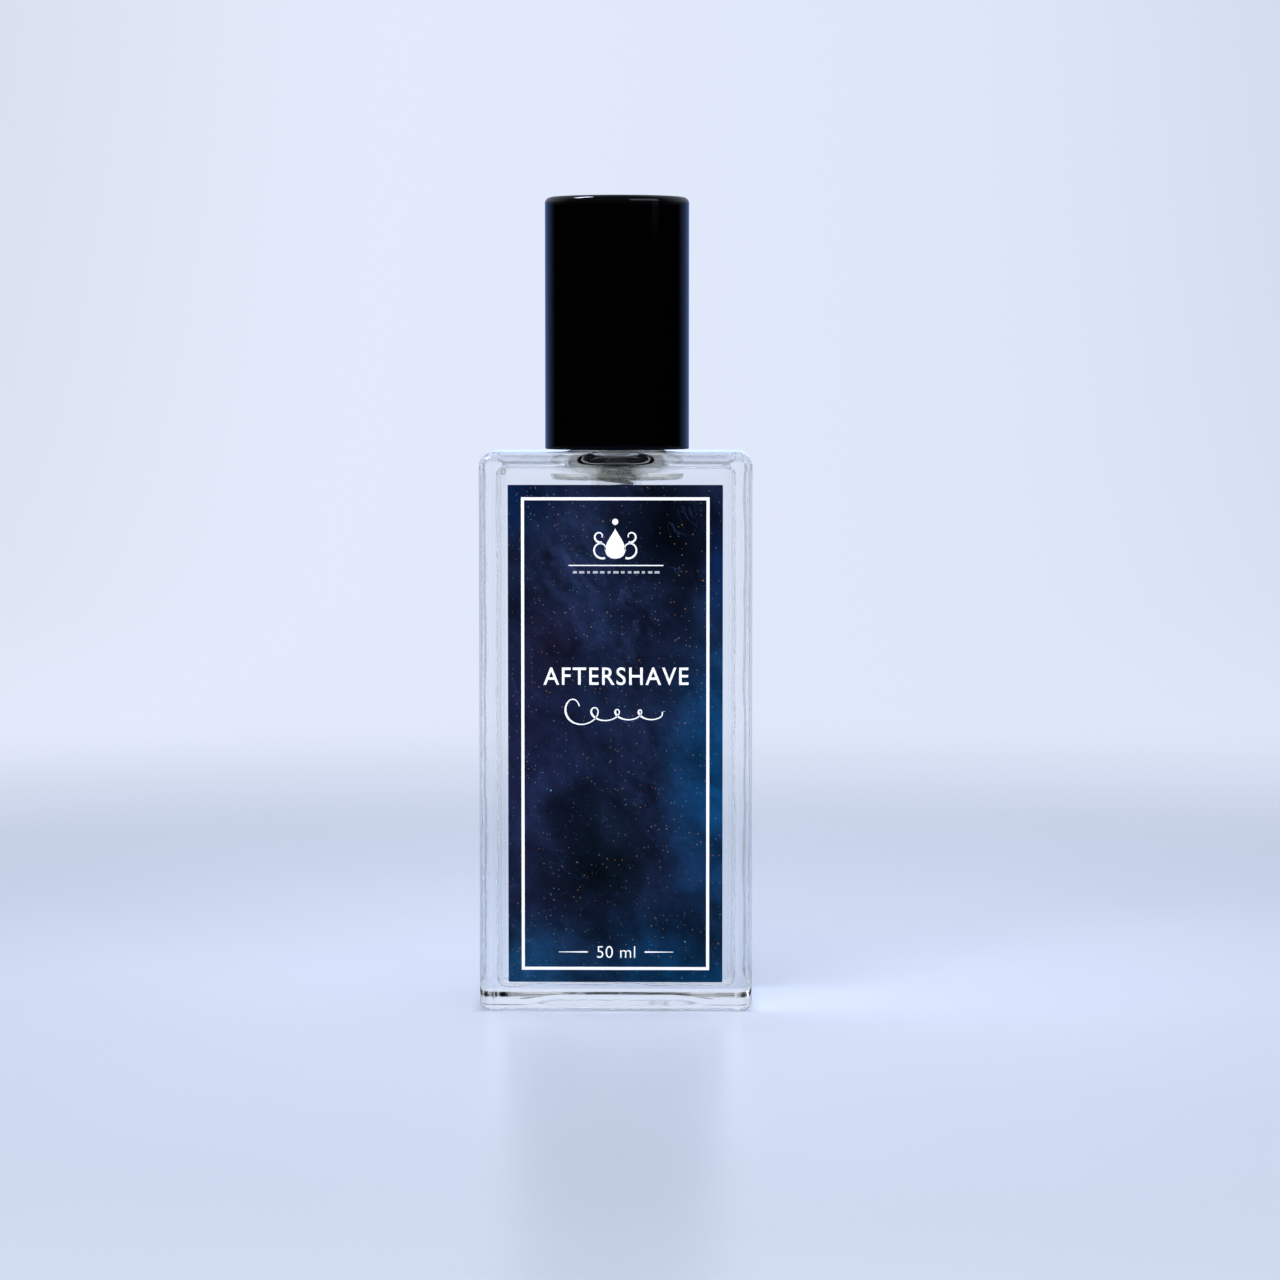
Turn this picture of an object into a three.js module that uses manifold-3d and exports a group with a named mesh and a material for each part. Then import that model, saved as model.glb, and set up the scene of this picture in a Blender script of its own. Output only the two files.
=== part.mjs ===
// A 50 ml fragrance spray bottle: a heavy-based rectangular glass bottle with a crimped
// precompression pump, a spray button in a black collar, and a cylindrical pull-off cap.
// Millimetres, +Z up. The origin is the centre of the footprint on the resting plane,
// the label faces -Y, and the pump, the collar and the cap are centred on the Z axis.
import * as THREE from "three";
import { mergeVertices } from "three/addons/utils/BufferGeometryUtils.js";
import Module from "manifold-3d";

const wasm = await Module();
wasm.setup();

// ---- driving dimensions -------------------------------------------------------------
const BODY = { width: 40, depth: 25, shoulder: 82, corner: 2.0, edge: 1.4 };
const WALL = { side: 2.4, front: 2.2, base: 3.5, roof: 2.1 };
const CAVITY = { corner: 3.2, edge: 2.2 };
const PUSH_UP = { width: 30, depth: 15, height: 0.8, corner: 5, slope: 0.7 };
const NECK = { root: 6.6, bead: 7.5, bore: 4.8, beadBottom: 89.3, top: 92.5 };
const FUNNEL = { radius: 8.2, top: 82.3 };
const LABEL = { width: 31.4, height: 73.0, bottom: 4.3, thickness: 0.12, gap: 0.02 };
const LIQUID_GAP = 0.15;
const BUBBLE = { radius: 9.6, height: 2.1 };

const GASKET = { inner: 4.4, outer: 7.3, bottom: 92.55, top: 93.35 };
const HOUSING = { flange: 7.2, flangeBottom: 93.4, flangeTop: 94.1, body: 4.2, bore: 3.3 };
const SPRING_ROOM = {
  outer: 3.7, inner: 2.95, bottom: 74.0, seat: 75.0, top: 78.5, innerTop: 79.0,
};
const TAIL = { outer: 2.5, socket: 1.47, socketTop: 71.5, bottom: 66.5, inlet: 0.6, top: 72.6 };
const FERRULE = { outer: 8.2, wall: 0.4, plateTop: 94.65, hole: 3.9, lip: 6.85, bottom: 88.3 };
const TURRET = { skirt: 3.2, flange: 4.7, boss: 3.7, bore: 1.75, bottom: 91.0, top: 97.3 };
const SEAL = { inner: 1.66, outer: 3.2, bottom: 90.2, top: 90.9 };

const STEM = { radius: 1.6, bore: 0.7, foot: 2.1, bottom: 83.4, top: 106.0 };
const STEM_FLANGE = { radius: 2.6, bottom: 88.9, top: 90.1 };
const PISTON = { outer: 3.2, inner: 1.67, bottom: 84.4, top: 87.0 };
const MAIN_SPRING = { mean: 2.3, wire: 0.5, turns: 7, bottom: 75.02, top: 83.35 };
const SEAT_SPRING = { mean: 2.15, wire: 0.3, turns: 3, bottom: 87.05, top: 88.85 };
const BALL = { radius: 1.0, height: 74.0, play: 0.25, roomBottom: 73.9, coneBottom: 73.1 };
const TUBE = { outer: 1.4, inner: 0.9, top: 71.3, bottom: 4.6 };

const BUTTON = {
  radius: 6.4, skirt: 5.4, hub: 2.6, bottom: 100.8, top: 112, roof: 104.2, dish: 0.5,
};
const SOCKET = { radius: 1.65, bottom: 102.3, top: 106.1 };
const NOZZLE = { radius: 1.85, pocket: 1.95, height: 107.4, face: 6.0, back: 4.25 };
const COLLAR = { outer: 9.1, inner: 8.8, bottom: 82.5, top: 96.8, hole: 6.9 };
const COLLAR_CORE = { outer: 8.7, inner: 8.3, bottom: 83.0, top: 96.35 };
const CAP = { outer: 10.7, inner: 9.9, bottom: 82.3, top: 119.5, roof: 118.7, fillet: 0.9 };
const LINER = { outer: 9.8, inner: 9.4, bottom: 83.4, top: 118.6, roof: 117.5 };
const GRIP = { radius: 9.15, bottom: 88.5, top: 89.7, slope: 0.8 };

// Sides of the turned shapes: wide parts, pump parts and the smallest ones.
const WIDE = 36;
const MEDIUM = 24;
const SMALL = 16;

// ---- finishes -----------------------------------------------------------------------
const FINISHES = {
  glass: { color: 0xe6f0f6, roughness: 0.03, metalness: 0, transparent: true, opacity: 0.35 },
  liquid: { color: 0xf2f3e4, roughness: 0.02, metalness: 0, transparent: true, opacity: 0.45 },
  label: { color: 0x18294a, roughness: 0.4, metalness: 0 },
  blackGloss: { color: 0x020202, roughness: 0.08, metalness: 0 },
  blackMetal: { color: 0x08080a, roughness: 0.3, metalness: 0.6 },
  blackLiner: { color: 0x0c0c0e, roughness: 0.5, metalness: 0 },
  aluminium: { color: 0xc9ccd0, roughness: 0.28, metalness: 1 },
  pumpPlastic: { color: 0xeeeeea, roughness: 0.45, metalness: 0 },
  tube: { color: 0xf4f6f6, roughness: 0.25, metalness: 0, transparent: true, opacity: 0.6 },
  rubber: { color: 0x2b2b2d, roughness: 0.8, metalness: 0 },
  steel: { color: 0xb9bcc0, roughness: 0.25, metalness: 1 },
};

// ---- solids -------------------------------------------------------------------------

// Turns a closed three.js geometry into a manifold solid, for joins and cuts.
function solidOf(geometry) {
  const bare = geometry.clone();
  bare.deleteAttribute("normal");
  bare.deleteAttribute("uv");
  const merged = mergeVertices(bare, 1e-5);
  const corners = Array.from(merged.index.array);
  const kept = [];
  for (let i = 0; i < corners.length; i += 3) {
    const [a, b, c] = corners.slice(i, i + 3);
    if (a !== b && b !== c && c !== a) {
      kept.push(a, b, c);
    }
  }
  return new wasm.Manifold(new wasm.Mesh({
    numProp: 3,
    vertProperties: new Float32Array(merged.attributes.position.array),
    triVerts: new Uint32Array(kept),
  }));
}

// Turns a manifold solid back into a three.js geometry.
function geometryOf(solid) {
  const mesh = solid.getMesh();
  const geometry = new THREE.BufferGeometry();
  geometry.setAttribute("position", new THREE.BufferAttribute(mesh.vertProperties, 3));
  geometry.setIndex(new THREE.BufferAttribute(mesh.triVerts, 1));
  geometry.computeVertexNormals();
  return geometry;
}

// A solid of revolution about Z from [radius, height] points. The outline runs up the
// outside, and either starts and ends on the axis or closes on itself.
function turned(outline, sides) {
  const points = outline.map(([radius, height]) => new THREE.Vector2(radius, height));
  const onAxis = outline[0][0] === 0 && outline[outline.length - 1][0] === 0;
  if (!onAxis) {
    points.push(points[0].clone());
  }
  return solidOf(new THREE.LatheGeometry(points, sides).rotateX(Math.PI / 2));
}

// A round bar of one radius between two heights.
function bar(radius, bottom, top, sides) {
  return turned([[0, bottom], [radius, bottom], [radius, top], [0, top]], sides);
}

// A washer or sleeve between two radii and two heights.
function sleeve(inner, outer, bottom, top, sides) {
  return turned([[inner, bottom], [outer, bottom], [outer, top], [inner, top]], sides);
}

// The points of a quarter-round fillet from one angle to another, as [radius, height].
function fillet(centreRadius, centreHeight, radius, fromAngle, toAngle, steps = 3) {
  return Array.from({ length: steps + 1 }, (_, i) => {
    const angle = fromAngle + ((toAngle - fromAngle) * i) / steps;
    return [centreRadius + radius * Math.cos(angle), centreHeight + radius * Math.sin(angle)];
  });
}

// A rectangle with round corners, centred on the origin.
function roundedRectangle(width, depth, radius) {
  const x = width / 2 - radius;
  const y = depth / 2 - radius;
  const shape = new THREE.Shape();
  shape.absarc(x, y, radius, 0, Math.PI / 2);
  shape.absarc(-x, y, radius, Math.PI / 2, Math.PI);
  shape.absarc(-x, -y, radius, Math.PI, 1.5 * Math.PI);
  shape.absarc(x, -y, radius, 1.5 * Math.PI, 2 * Math.PI);
  return shape;
}

// An upright block with round corners in plan and rounded top and bottom edges.
function roundedBlock(width, depth, bottom, top, corner, edge) {
  const outline = roundedRectangle(width - 2 * edge, depth - 2 * edge, corner - edge);
  const geometry = new THREE.ExtrudeGeometry(outline, {
    depth: top - bottom - 2 * edge,
    bevelThickness: edge,
    bevelSize: edge,
    bevelSegments: 3,
    curveSegments: 2,
  });
  return solidOf(geometry.translate(0, 0, bottom + edge));
}

// A compression spring's centre line. Its first and last turns lie almost flat.
class SpringCurve extends THREE.Curve {
  constructor({ mean, wire, turns, bottom, top }) {
    super();
    Object.assign(this, { mean, wire, turns, bottom, top });
  }

  getPoint(t) {
    const turn = t * this.turns;
    const flat = this.wire * 1.15;
    const low = this.bottom + this.wire / 2;
    const high = this.top - this.wire / 2;
    const rise = (high - low - 2 * flat) / (this.turns - 2);
    let height = low + turn * flat;
    if (turn > this.turns - 1) {
      height = high - (this.turns - turn) * flat;
    } else if (turn > 1) {
      height = low + flat + (turn - 1) * rise;
    }
    const angle = 2 * Math.PI * turn;
    return new THREE.Vector3(this.mean * Math.cos(angle), this.mean * Math.sin(angle), height);
  }
}

function spring(size) {
  const section = new THREE.Shape();
  section.absarc(0, 0, size.wire / 2, 0, 2 * Math.PI);
  return solidOf(new THREE.ExtrudeGeometry(section, {
    steps: size.turns * 10,
    extrudePath: new SpringCurve(size),
    curveSegments: 3,
  }));
}

// The dip tube's route: straight below the pump, then bent gently towards a corner.
const tubeRoute = new THREE.CubicBezierCurve3(
  new THREE.Vector3(0, 0, TUBE.top),
  new THREE.Vector3(0, 0, 40),
  new THREE.Vector3(2, 1, 20),
  new THREE.Vector3(6.5, 3.2, TUBE.bottom),
);

function alongTube(outer, inner) {
  const section = new THREE.Shape();
  section.absarc(0, 0, outer, 0, 2 * Math.PI);
  if (inner > 0) {
    const hole = new THREE.Path();
    hole.absarc(0, 0, inner, 0, 2 * Math.PI, true);
    section.holes.push(hole);
  }
  return solidOf(new THREE.ExtrudeGeometry(section, {
    steps: 12,
    extrudePath: tubeRoute,
    curveSegments: 5,
  }));
}

// ---- the bottle ---------------------------------------------------------------------
const cavityWidth = BODY.width - 2 * WALL.side;
const cavityDepth = BODY.depth - 2 * WALL.front;
const cavityTop = BODY.shoulder - WALL.roof;

function glassBottle() {
  const body = roundedBlock(BODY.width, BODY.depth, 0, BODY.shoulder, BODY.corner, BODY.edge);
  const neck = turned([
    [0, cavityTop],
    [NECK.root + 0.8, cavityTop],
    [NECK.root + 0.8, BODY.shoulder],
    [NECK.root + 0.2, BODY.shoulder + 0.2],
    [NECK.root, BODY.shoulder + 0.8],
    [NECK.root, NECK.beadBottom - 0.4],
    [NECK.bead, NECK.beadBottom + 0.3],
    ...fillet(NECK.bead - 0.6, NECK.top - 0.6, 0.6, 0, Math.PI / 2),
    [0, NECK.top],
  ], WIDE);
  const cavity = roundedBlock(
    cavityWidth, cavityDepth, WALL.base, cavityTop, CAVITY.corner, CAVITY.edge,
  );
  const bore = turned([
    [0, cavityTop - 1],
    [FUNNEL.radius, cavityTop - 1],
    [FUNNEL.radius, cavityTop],
    [NECK.bore, FUNNEL.top],
    [NECK.bore, NECK.top + 1],
    [0, NECK.top + 1],
  ], WIDE);
  const pushUp = solidOf(new THREE.ExtrudeGeometry(
    roundedRectangle(PUSH_UP.width, PUSH_UP.depth, PUSH_UP.corner),
    {
      depth: 1,
      bevelThickness: PUSH_UP.height,
      bevelSize: PUSH_UP.slope,
      bevelSegments: 1,
      curveSegments: 3,
    },
  ).translate(0, 0, -1));
  return body.add(neck).subtract(cavity).subtract(bore).subtract(pushUp);
}

// The liquid stands clear of the glass, of the pump's housing and of the dip tube.
function fragranceLiquid() {
  const gap = LIQUID_GAP;
  const room = 0.3;
  const fill = roundedBlock(
    cavityWidth - 2 * gap, cavityDepth - 2 * gap, WALL.base + gap, cavityTop - gap,
    CAVITY.corner - gap, CAVITY.edge - gap,
  );
  const bubble = bar(BUBBLE.radius, cavityTop - BUBBLE.height, BODY.shoulder, WIDE);
  const pumpRoom = turned([
    [0, TAIL.bottom - room],
    [TAIL.outer + room, TAIL.bottom - room],
    [TAIL.outer + room, TAIL.top - 0.2],
    [SPRING_ROOM.outer + room, SPRING_ROOM.bottom - 0.2],
    [SPRING_ROOM.outer + room, SPRING_ROOM.top - 0.1],
    [0, SPRING_ROOM.top + 0.5],
  ], MEDIUM);
  return fill.subtract(bubble).subtract(pumpRoom).subtract(alongTube(TUBE.outer + room, 0));
}

function frontLabel() {
  const { width, height, bottom, thickness, gap } = LABEL;
  const plate = new THREE.BoxGeometry(width, thickness, height);
  return solidOf(plate.translate(0, -BODY.depth / 2 - gap - thickness / 2, bottom + height / 2));
}

// ---- the crimped pump ---------------------------------------------------------------
function crimpFerrule() {
  const { outer, wall, plateTop, hole, lip, bottom } = FERRULE;
  const inner = outer - wall;
  const step = TURRET.flange + 0.35;
  return turned([
    [lip, bottom],
    [outer - 0.6, bottom],
    [outer, bottom + 0.7],
    ...fillet(outer - 0.3, plateTop - 0.3, 0.3, 0, Math.PI / 2, 2),
    [step + 0.6, plateTop],
    [step + 0.3, plateTop + 0.6],
    [hole, plateTop + 0.6],
    [hole, plateTop + 0.2],
    [step, plateTop + 0.2],
    [step + 0.3, plateTop - wall],
    [inner - 0.2, plateTop - wall],
    [inner, plateTop - wall - 0.2],
    [inner, bottom + 0.95],
    [inner - 0.4, bottom + 0.45],
    [lip, bottom + 0.45],
  ], WIDE);
}

function pumpHousing() {
  return turned([
    [TAIL.socket, TAIL.bottom],
    [TAIL.outer, TAIL.bottom],
    [TAIL.outer, TAIL.top],
    [SPRING_ROOM.outer, SPRING_ROOM.bottom],
    [SPRING_ROOM.outer, SPRING_ROOM.top],
    [HOUSING.body, SPRING_ROOM.top + 1],
    [HOUSING.body, HOUSING.flangeBottom],
    [HOUSING.flange, HOUSING.flangeBottom],
    [HOUSING.flange, HOUSING.flangeTop],
    [HOUSING.bore, HOUSING.flangeTop],
    [HOUSING.bore, SPRING_ROOM.innerTop + 0.4],
    [SPRING_ROOM.inner, SPRING_ROOM.innerTop],
    [SPRING_ROOM.inner, SPRING_ROOM.seat],
    [BALL.radius + BALL.play, SPRING_ROOM.seat],
    [BALL.radius + BALL.play, BALL.roomBottom],
    [TAIL.inlet, BALL.coneBottom],
    [TAIL.inlet, TAIL.socketTop],
    [TAIL.socket, TAIL.socketTop],
  ], MEDIUM);
}

function turret() {
  const seat = HOUSING.flangeTop + 0.05;
  return turned([
    [TURRET.bore, TURRET.bottom],
    [TURRET.skirt, TURRET.bottom],
    [TURRET.skirt, seat],
    [TURRET.flange, seat],
    [TURRET.flange, seat + 0.6],
    [TURRET.boss, seat + 0.6],
    [TURRET.boss, TURRET.top - 0.3],
    [TURRET.boss - 0.3, TURRET.top],
    [TURRET.bore + 0.2, TURRET.top],
    [TURRET.bore, TURRET.top - 0.2],
  ], MEDIUM);
}

// The stem is bored from the top. Cross holes above its foot open when the piston lifts.
function stem() {
  const body = turned([
    [0, STEM.bottom],
    [STEM.foot, STEM.bottom],
    [STEM.foot, STEM.bottom + 0.6],
    [STEM.radius, STEM.bottom + 0.9],
    [STEM.radius, STEM_FLANGE.bottom],
    [STEM_FLANGE.radius, STEM_FLANGE.bottom],
    [STEM_FLANGE.radius, STEM_FLANGE.top],
    [STEM.radius, STEM_FLANGE.top],
    [STEM.radius, STEM.top],
    [STEM.bore, STEM.top],
    [STEM.bore, STEM.bottom + 1.5],
    [0, STEM.bottom + 1.5],
  ], MEDIUM);
  const crossHole = new THREE.CylinderGeometry(0.3, 0.3, 2 * STEM.foot, 10);
  return body.subtract(solidOf(crossHole.translate(0, 0, STEM.bottom + 2.0)));
}

// The piston wipes the housing with a lip at each end and seals on the stem's foot.
function piston() {
  const { outer, inner, bottom, top } = PISTON;
  return turned([
    [inner, bottom],
    [inner + 0.5, bottom],
    [outer - 0.5, bottom + 0.6],
    [outer - 0.15, bottom],
    [outer, bottom],
    [outer, bottom + 0.5],
    [outer - 0.3, bottom + 0.9],
    [outer - 0.3, top - 0.9],
    [outer, top - 0.5],
    [outer, top],
    [outer - 0.15, top],
    [outer - 0.5, top - 0.7],
    [inner, top - 0.7],
  ], MEDIUM);
}

// ---- the spray button ---------------------------------------------------------------
function actuatorButton() {
  const body = turned([
    [0, SOCKET.top],
    [SOCKET.radius, SOCKET.top],
    [SOCKET.radius, SOCKET.bottom],
    [BUTTON.hub, SOCKET.bottom],
    [BUTTON.hub, BUTTON.roof],
    [BUTTON.skirt, BUTTON.roof],
    [BUTTON.skirt, BUTTON.bottom],
    [BUTTON.radius, BUTTON.bottom],
    ...fillet(BUTTON.radius - 0.6, BUTTON.top - 0.6, 0.6, 0, Math.PI / 2),
    [BUTTON.radius - 1.8, BUTTON.top - 0.25 * BUTTON.dish],
    [BUTTON.radius - 4.0, BUTTON.top - 0.85 * BUTTON.dish],
    [0, BUTTON.top - BUTTON.dish],
  ], WIDE);
  const riser = bar(0.5, SOCKET.top - 0.2, NOZZLE.height, 12);
  const channel = new THREE.CylinderGeometry(0.5, 0.5, NOZZLE.back + 0.5, 12);
  channel.translate(0, -(NOZZLE.back + 0.5) / 2 + 0.2, NOZZLE.height);
  const pocket = new THREE.CylinderGeometry(NOZZLE.pocket, NOZZLE.pocket, 4, SMALL);
  pocket.translate(0, -NOZZLE.back + 0.1 - 2, NOZZLE.height);
  return body.subtract(riser).subtract(solidOf(channel)).subtract(solidOf(pocket));
}

// A small cup with a swirl chamber behind, an orifice, and a dished face in front.
function nozzleInsert() {
  const { radius, face, back } = NOZZLE;
  const cup = new THREE.LatheGeometry([
    [1.1, back], [radius, back], [radius, face - 0.2], [radius - 0.2, face],
    [0.9, face], [0.25, face - 0.5], [0.25, face - 1.0], [1.1, face - 1.0], [1.1, back],
  ].map(([r, y]) => new THREE.Vector2(r, y)), SMALL);
  return solidOf(cup.rotateX(Math.PI).translate(0, 0, NOZZLE.height));
}

// ---- the collar and the cap ---------------------------------------------------------
function collarShell() {
  const { outer, inner, bottom, top, hole } = COLLAR;
  return turned([
    [inner, bottom],
    [outer, bottom],
    ...fillet(outer - 0.4, top - 0.4, 0.4, 0, Math.PI / 2, 2),
    [hole, top],
    [hole, top - 0.35],
    [inner, top - 0.35],
  ], WIDE);
}

// The core snaps under the ferrule's crimp and carries the collar shell.
function collarCore() {
  const { outer, inner, bottom, top } = COLLAR_CORE;
  const snap = FERRULE.bottom - 0.2;
  return turned([
    [inner, bottom],
    [outer, bottom],
    [outer, top],
    [COLLAR.hole + 0.1, top],
    [COLLAR.hole + 0.1, top - 0.6],
    [inner, top - 0.6],
    [inner, snap],
    [inner - 0.4, snap - 0.4],
    [inner - 0.4, snap - 1.2],
    [inner, snap - 1.8],
  ], WIDE);
}

function capShell() {
  const { outer, inner, bottom, top, roof } = CAP;
  return turned([
    [0, roof],
    [inner, roof],
    [inner, bottom],
    [outer - 0.15, bottom],
    [outer, bottom + 0.15],
    ...fillet(outer - CAP.fillet, top - CAP.fillet, CAP.fillet, 0, Math.PI / 2),
    [0, top],
  ], WIDE);
}

// The liner's grip ring is a running fit over the collar.
function capLiner() {
  const { outer, inner, bottom, top, roof } = LINER;
  return turned([
    [0, roof],
    [inner, roof],
    [inner, GRIP.top + GRIP.slope],
    [GRIP.radius, GRIP.top],
    [GRIP.radius, GRIP.bottom],
    [inner, GRIP.bottom - GRIP.slope],
    [inner, bottom + 0.5],
    [inner + 0.2, bottom],
    [outer, bottom],
    [outer, top],
    [0, top],
  ], WIDE);
}

// ---- assembly -----------------------------------------------------------------------
function named(name, solid, finish) {
  const material = new THREE.MeshStandardMaterial(FINISHES[finish]);
  const mesh = new THREE.Mesh(geometryOf(solid), material);
  mesh.name = name;
  return mesh;
}

function group(...meshes) {
  const parent = new THREE.Group();
  parent.add(...meshes);
  return parent;
}

const bottle = group(
  named("glass_bottle", glassBottle(), "glass"),
  named("fragrance_liquid", fragranceLiquid(), "liquid"),
  named("front_label", frontLabel(), "label"),
);

const gasketSolid = sleeve(GASKET.inner, GASKET.outer, GASKET.bottom, GASKET.top, WIDE);
const sealSolid = sleeve(SEAL.inner, SEAL.outer, SEAL.bottom, SEAL.top, MEDIUM);
const inletBall = new THREE.Mesh(
  new THREE.SphereGeometry(BALL.radius, 16, 10),
  new THREE.MeshStandardMaterial(FINISHES.steel),
);
inletBall.name = "inlet_ball";
inletBall.position.set(0, 0, BALL.height);

const pump = group(
  named("neck_gasket", gasketSolid, "rubber"),
  named("crimp_ferrule", crimpFerrule(), "aluminium"),
  named("pump_housing", pumpHousing(), "pumpPlastic"),
  named("turret", turret(), "pumpPlastic"),
  named("stem_gasket", sealSolid, "rubber"),
  named("stem", stem(), "pumpPlastic"),
  named("piston", piston(), "pumpPlastic"),
  named("piston_spring", spring(SEAT_SPRING), "steel"),
  named("main_spring", spring(MAIN_SPRING), "steel"),
  named("dip_tube", alongTube(TUBE.outer, TUBE.inner), "tube"),
  inletBall,
);

const button = group(
  named("actuator_button", actuatorButton(), "blackLiner"),
  named("nozzle_insert", nozzleInsert(), "pumpPlastic"),
);

const collar = group(
  named("collar_shell", collarShell(), "blackMetal"),
  named("collar_core", collarCore(), "blackLiner"),
);

const cap = group(
  named("cap_shell", capShell(), "blackGloss"),
  named("cap_liner", capLiner(), "blackLiner"),
);

const sprayBottle = group(bottle, pump, button, collar, cap);

export default sprayBottle;
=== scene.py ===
"""A glass fragrance spray bottle with a printed label and a glossy black cap.

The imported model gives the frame: every piece takes its place and its main sizes from
the node that it stands for. Lengths in the classes are millimetres, and meshes are
made in metres. Each sub-assembly is a class that works out its surfaces and dresses
them, each finish is a small class, and main() builds them in order.
"""
import logging
import math
from collections.abc import Callable, Sequence
from dataclasses import dataclass, field
from enum import Enum

import bmesh
import bpy
import numpy as np
from mathutils import Euler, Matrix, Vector


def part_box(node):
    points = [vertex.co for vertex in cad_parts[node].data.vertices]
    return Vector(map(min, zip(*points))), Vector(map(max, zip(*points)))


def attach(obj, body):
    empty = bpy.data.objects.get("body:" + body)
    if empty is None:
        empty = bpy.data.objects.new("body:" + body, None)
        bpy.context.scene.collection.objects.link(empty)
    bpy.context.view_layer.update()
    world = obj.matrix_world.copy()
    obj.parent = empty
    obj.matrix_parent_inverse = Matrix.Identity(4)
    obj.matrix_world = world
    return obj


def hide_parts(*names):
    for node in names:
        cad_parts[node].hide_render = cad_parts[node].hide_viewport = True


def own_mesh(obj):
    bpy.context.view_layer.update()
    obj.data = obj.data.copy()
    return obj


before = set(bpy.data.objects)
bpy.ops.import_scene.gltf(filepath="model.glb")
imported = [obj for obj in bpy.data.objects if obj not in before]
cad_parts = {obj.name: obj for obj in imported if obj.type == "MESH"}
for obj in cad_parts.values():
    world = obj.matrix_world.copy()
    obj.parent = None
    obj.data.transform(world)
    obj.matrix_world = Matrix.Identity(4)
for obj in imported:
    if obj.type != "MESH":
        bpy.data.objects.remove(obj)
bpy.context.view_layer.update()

log = logging.getLogger("spray_bottle")
MM = 0.001
Array = np.ndarray
Outline = list[tuple[float, float]]


# ---- meshes ----------------------------------------------------------------------------
class Sides(Enum):
    """How many columns a turned surface has."""

    WIDE = 144
    MEDIUM = 96
    SMALL = 48


@dataclass(frozen=True)
class NodeBox:
    """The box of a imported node, in millimetres."""

    low: Array
    high: Array

    @classmethod
    def of(cls, node: str) -> "NodeBox":
        """Returns the box of the named node."""
        low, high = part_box(node)
        return cls(np.array(low[:]) / MM, np.array(high[:]) / MM)

    @property
    def radius(self) -> float:
        """The radius of a round node on the Z axis."""
        return float(self.high[0])

    @property
    def bottom(self) -> float:
        """The lowest height."""
        return float(self.low[2])

    @property
    def top(self) -> float:
        """The highest height."""
        return float(self.high[2])


def skin(
    name: str,
    rings: Array,
    start: Sequence[float] | None = None,
    end: Sequence[float] | None = None,
    closed: bool = False,
    sharp: float = 35.0,
) -> bpy.types.Object:
    """Makes one closed surface from a grid of rings.

    Quad (i, j) joins points j and j + 1 of ring i to those of ring i + 1, and columns
    wrap round. The columns run anticlockwise seen against the way the rings advance,
    which makes the faces point outwards.

    Args:
        name: the piece's name.
        rings: points as (ring, column, xyz), in millimetres.
        start: the pole that closes the first ring, if it has one.
        end: the pole that closes the last ring, if it has one.
        closed: True if the last ring joins the first.
        sharp: the angle in degrees past which an edge stays crisp.

    Returns:
        The object, linked to the scene.
    """
    count, columns = rings.shape[:2]
    index = np.arange(count * columns).reshape(count, columns)
    if closed:
        index = np.vstack([index, index[:1]])
    right = np.roll(index, -1, axis=1)
    quads = np.stack([index[:-1], right[:-1], right[1:], index[1:]], axis=-1).reshape(-1, 4)
    faces = quads.tolist()
    points = [rings.reshape(-1, 3)]
    if start is not None:
        pole = np.full(columns, count * columns)
        faces += np.stack([pole, right[0], index[0]], axis=-1).tolist()
        points.append(np.array([start], float))
    if end is not None:
        pole = np.full(columns, count * columns + (start is not None))
        faces += np.stack([pole, index[count - 1], right[count - 1]], axis=-1).tolist()
        points.append(np.array([end], float))
    mesh = bpy.data.meshes.new(name)
    mesh.from_pydata((np.concatenate(points) * MM).tolist(), [], faces)
    mesh.shade_smooth()
    mesh.set_sharp_from_angle(angle=math.radians(sharp))
    piece = bpy.data.objects.new(name, mesh)
    bpy.context.scene.collection.objects.link(piece)
    return piece


def soften(outline: Outline, radius: float, steps: int = 4) -> Array:
    """Rounds every corner of an outline.

    Each corner P becomes the parabola (1-t)^2 A + 2t(1-t) P + t^2 B, where A and B lie
    on its two edges, the radius or at most 0.45 of the edge away from P. The ends of an
    outline that starts and ends on the axis stay as they are.

    Args:
        outline: corners as (radius, height).
        radius: how far from its corner a curve starts.
        steps: the segments of each curve.

    Returns:
        The points, as (point, 2).
    """
    corners = np.array(outline, float)
    on_axis = corners[0, 0] == 0 and corners[-1, 0] == 0
    before, after = np.roll(corners, 1, axis=0), np.roll(corners, -1, axis=0)

    def towards(other: Array) -> Array:
        """Returns the points on the edges towards the neighbours."""
        edge = other - corners
        length = np.maximum(np.linalg.norm(edge, axis=1, keepdims=True), 1e-9)
        return corners + edge / length * np.minimum(radius, 0.45 * length)

    a, b = towards(before)[:, None], towards(after)[:, None]
    t = np.linspace(0, 1, steps + 1)[None, :, None]
    curved = (1 - t) ** 2 * a + 2 * t * (1 - t) * corners[:, None] + t**2 * b
    if on_axis:
        return np.vstack([corners[:1], curved[1:-1].reshape(-1, 2), corners[-1:]])
    return curved.reshape(-1, 2)


def circles(profile: Array, columns: int) -> Array:
    """Turns (radius, height) points about Z: x = r cos a, y = r sin a, z = height."""
    angle = np.arange(columns) * 2 * np.pi / columns
    radius, height = profile[:, :1], profile[:, 1:]
    return np.stack(
        [radius * np.cos(angle), radius * np.sin(angle), height + 0 * angle], axis=-1
    )


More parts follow.
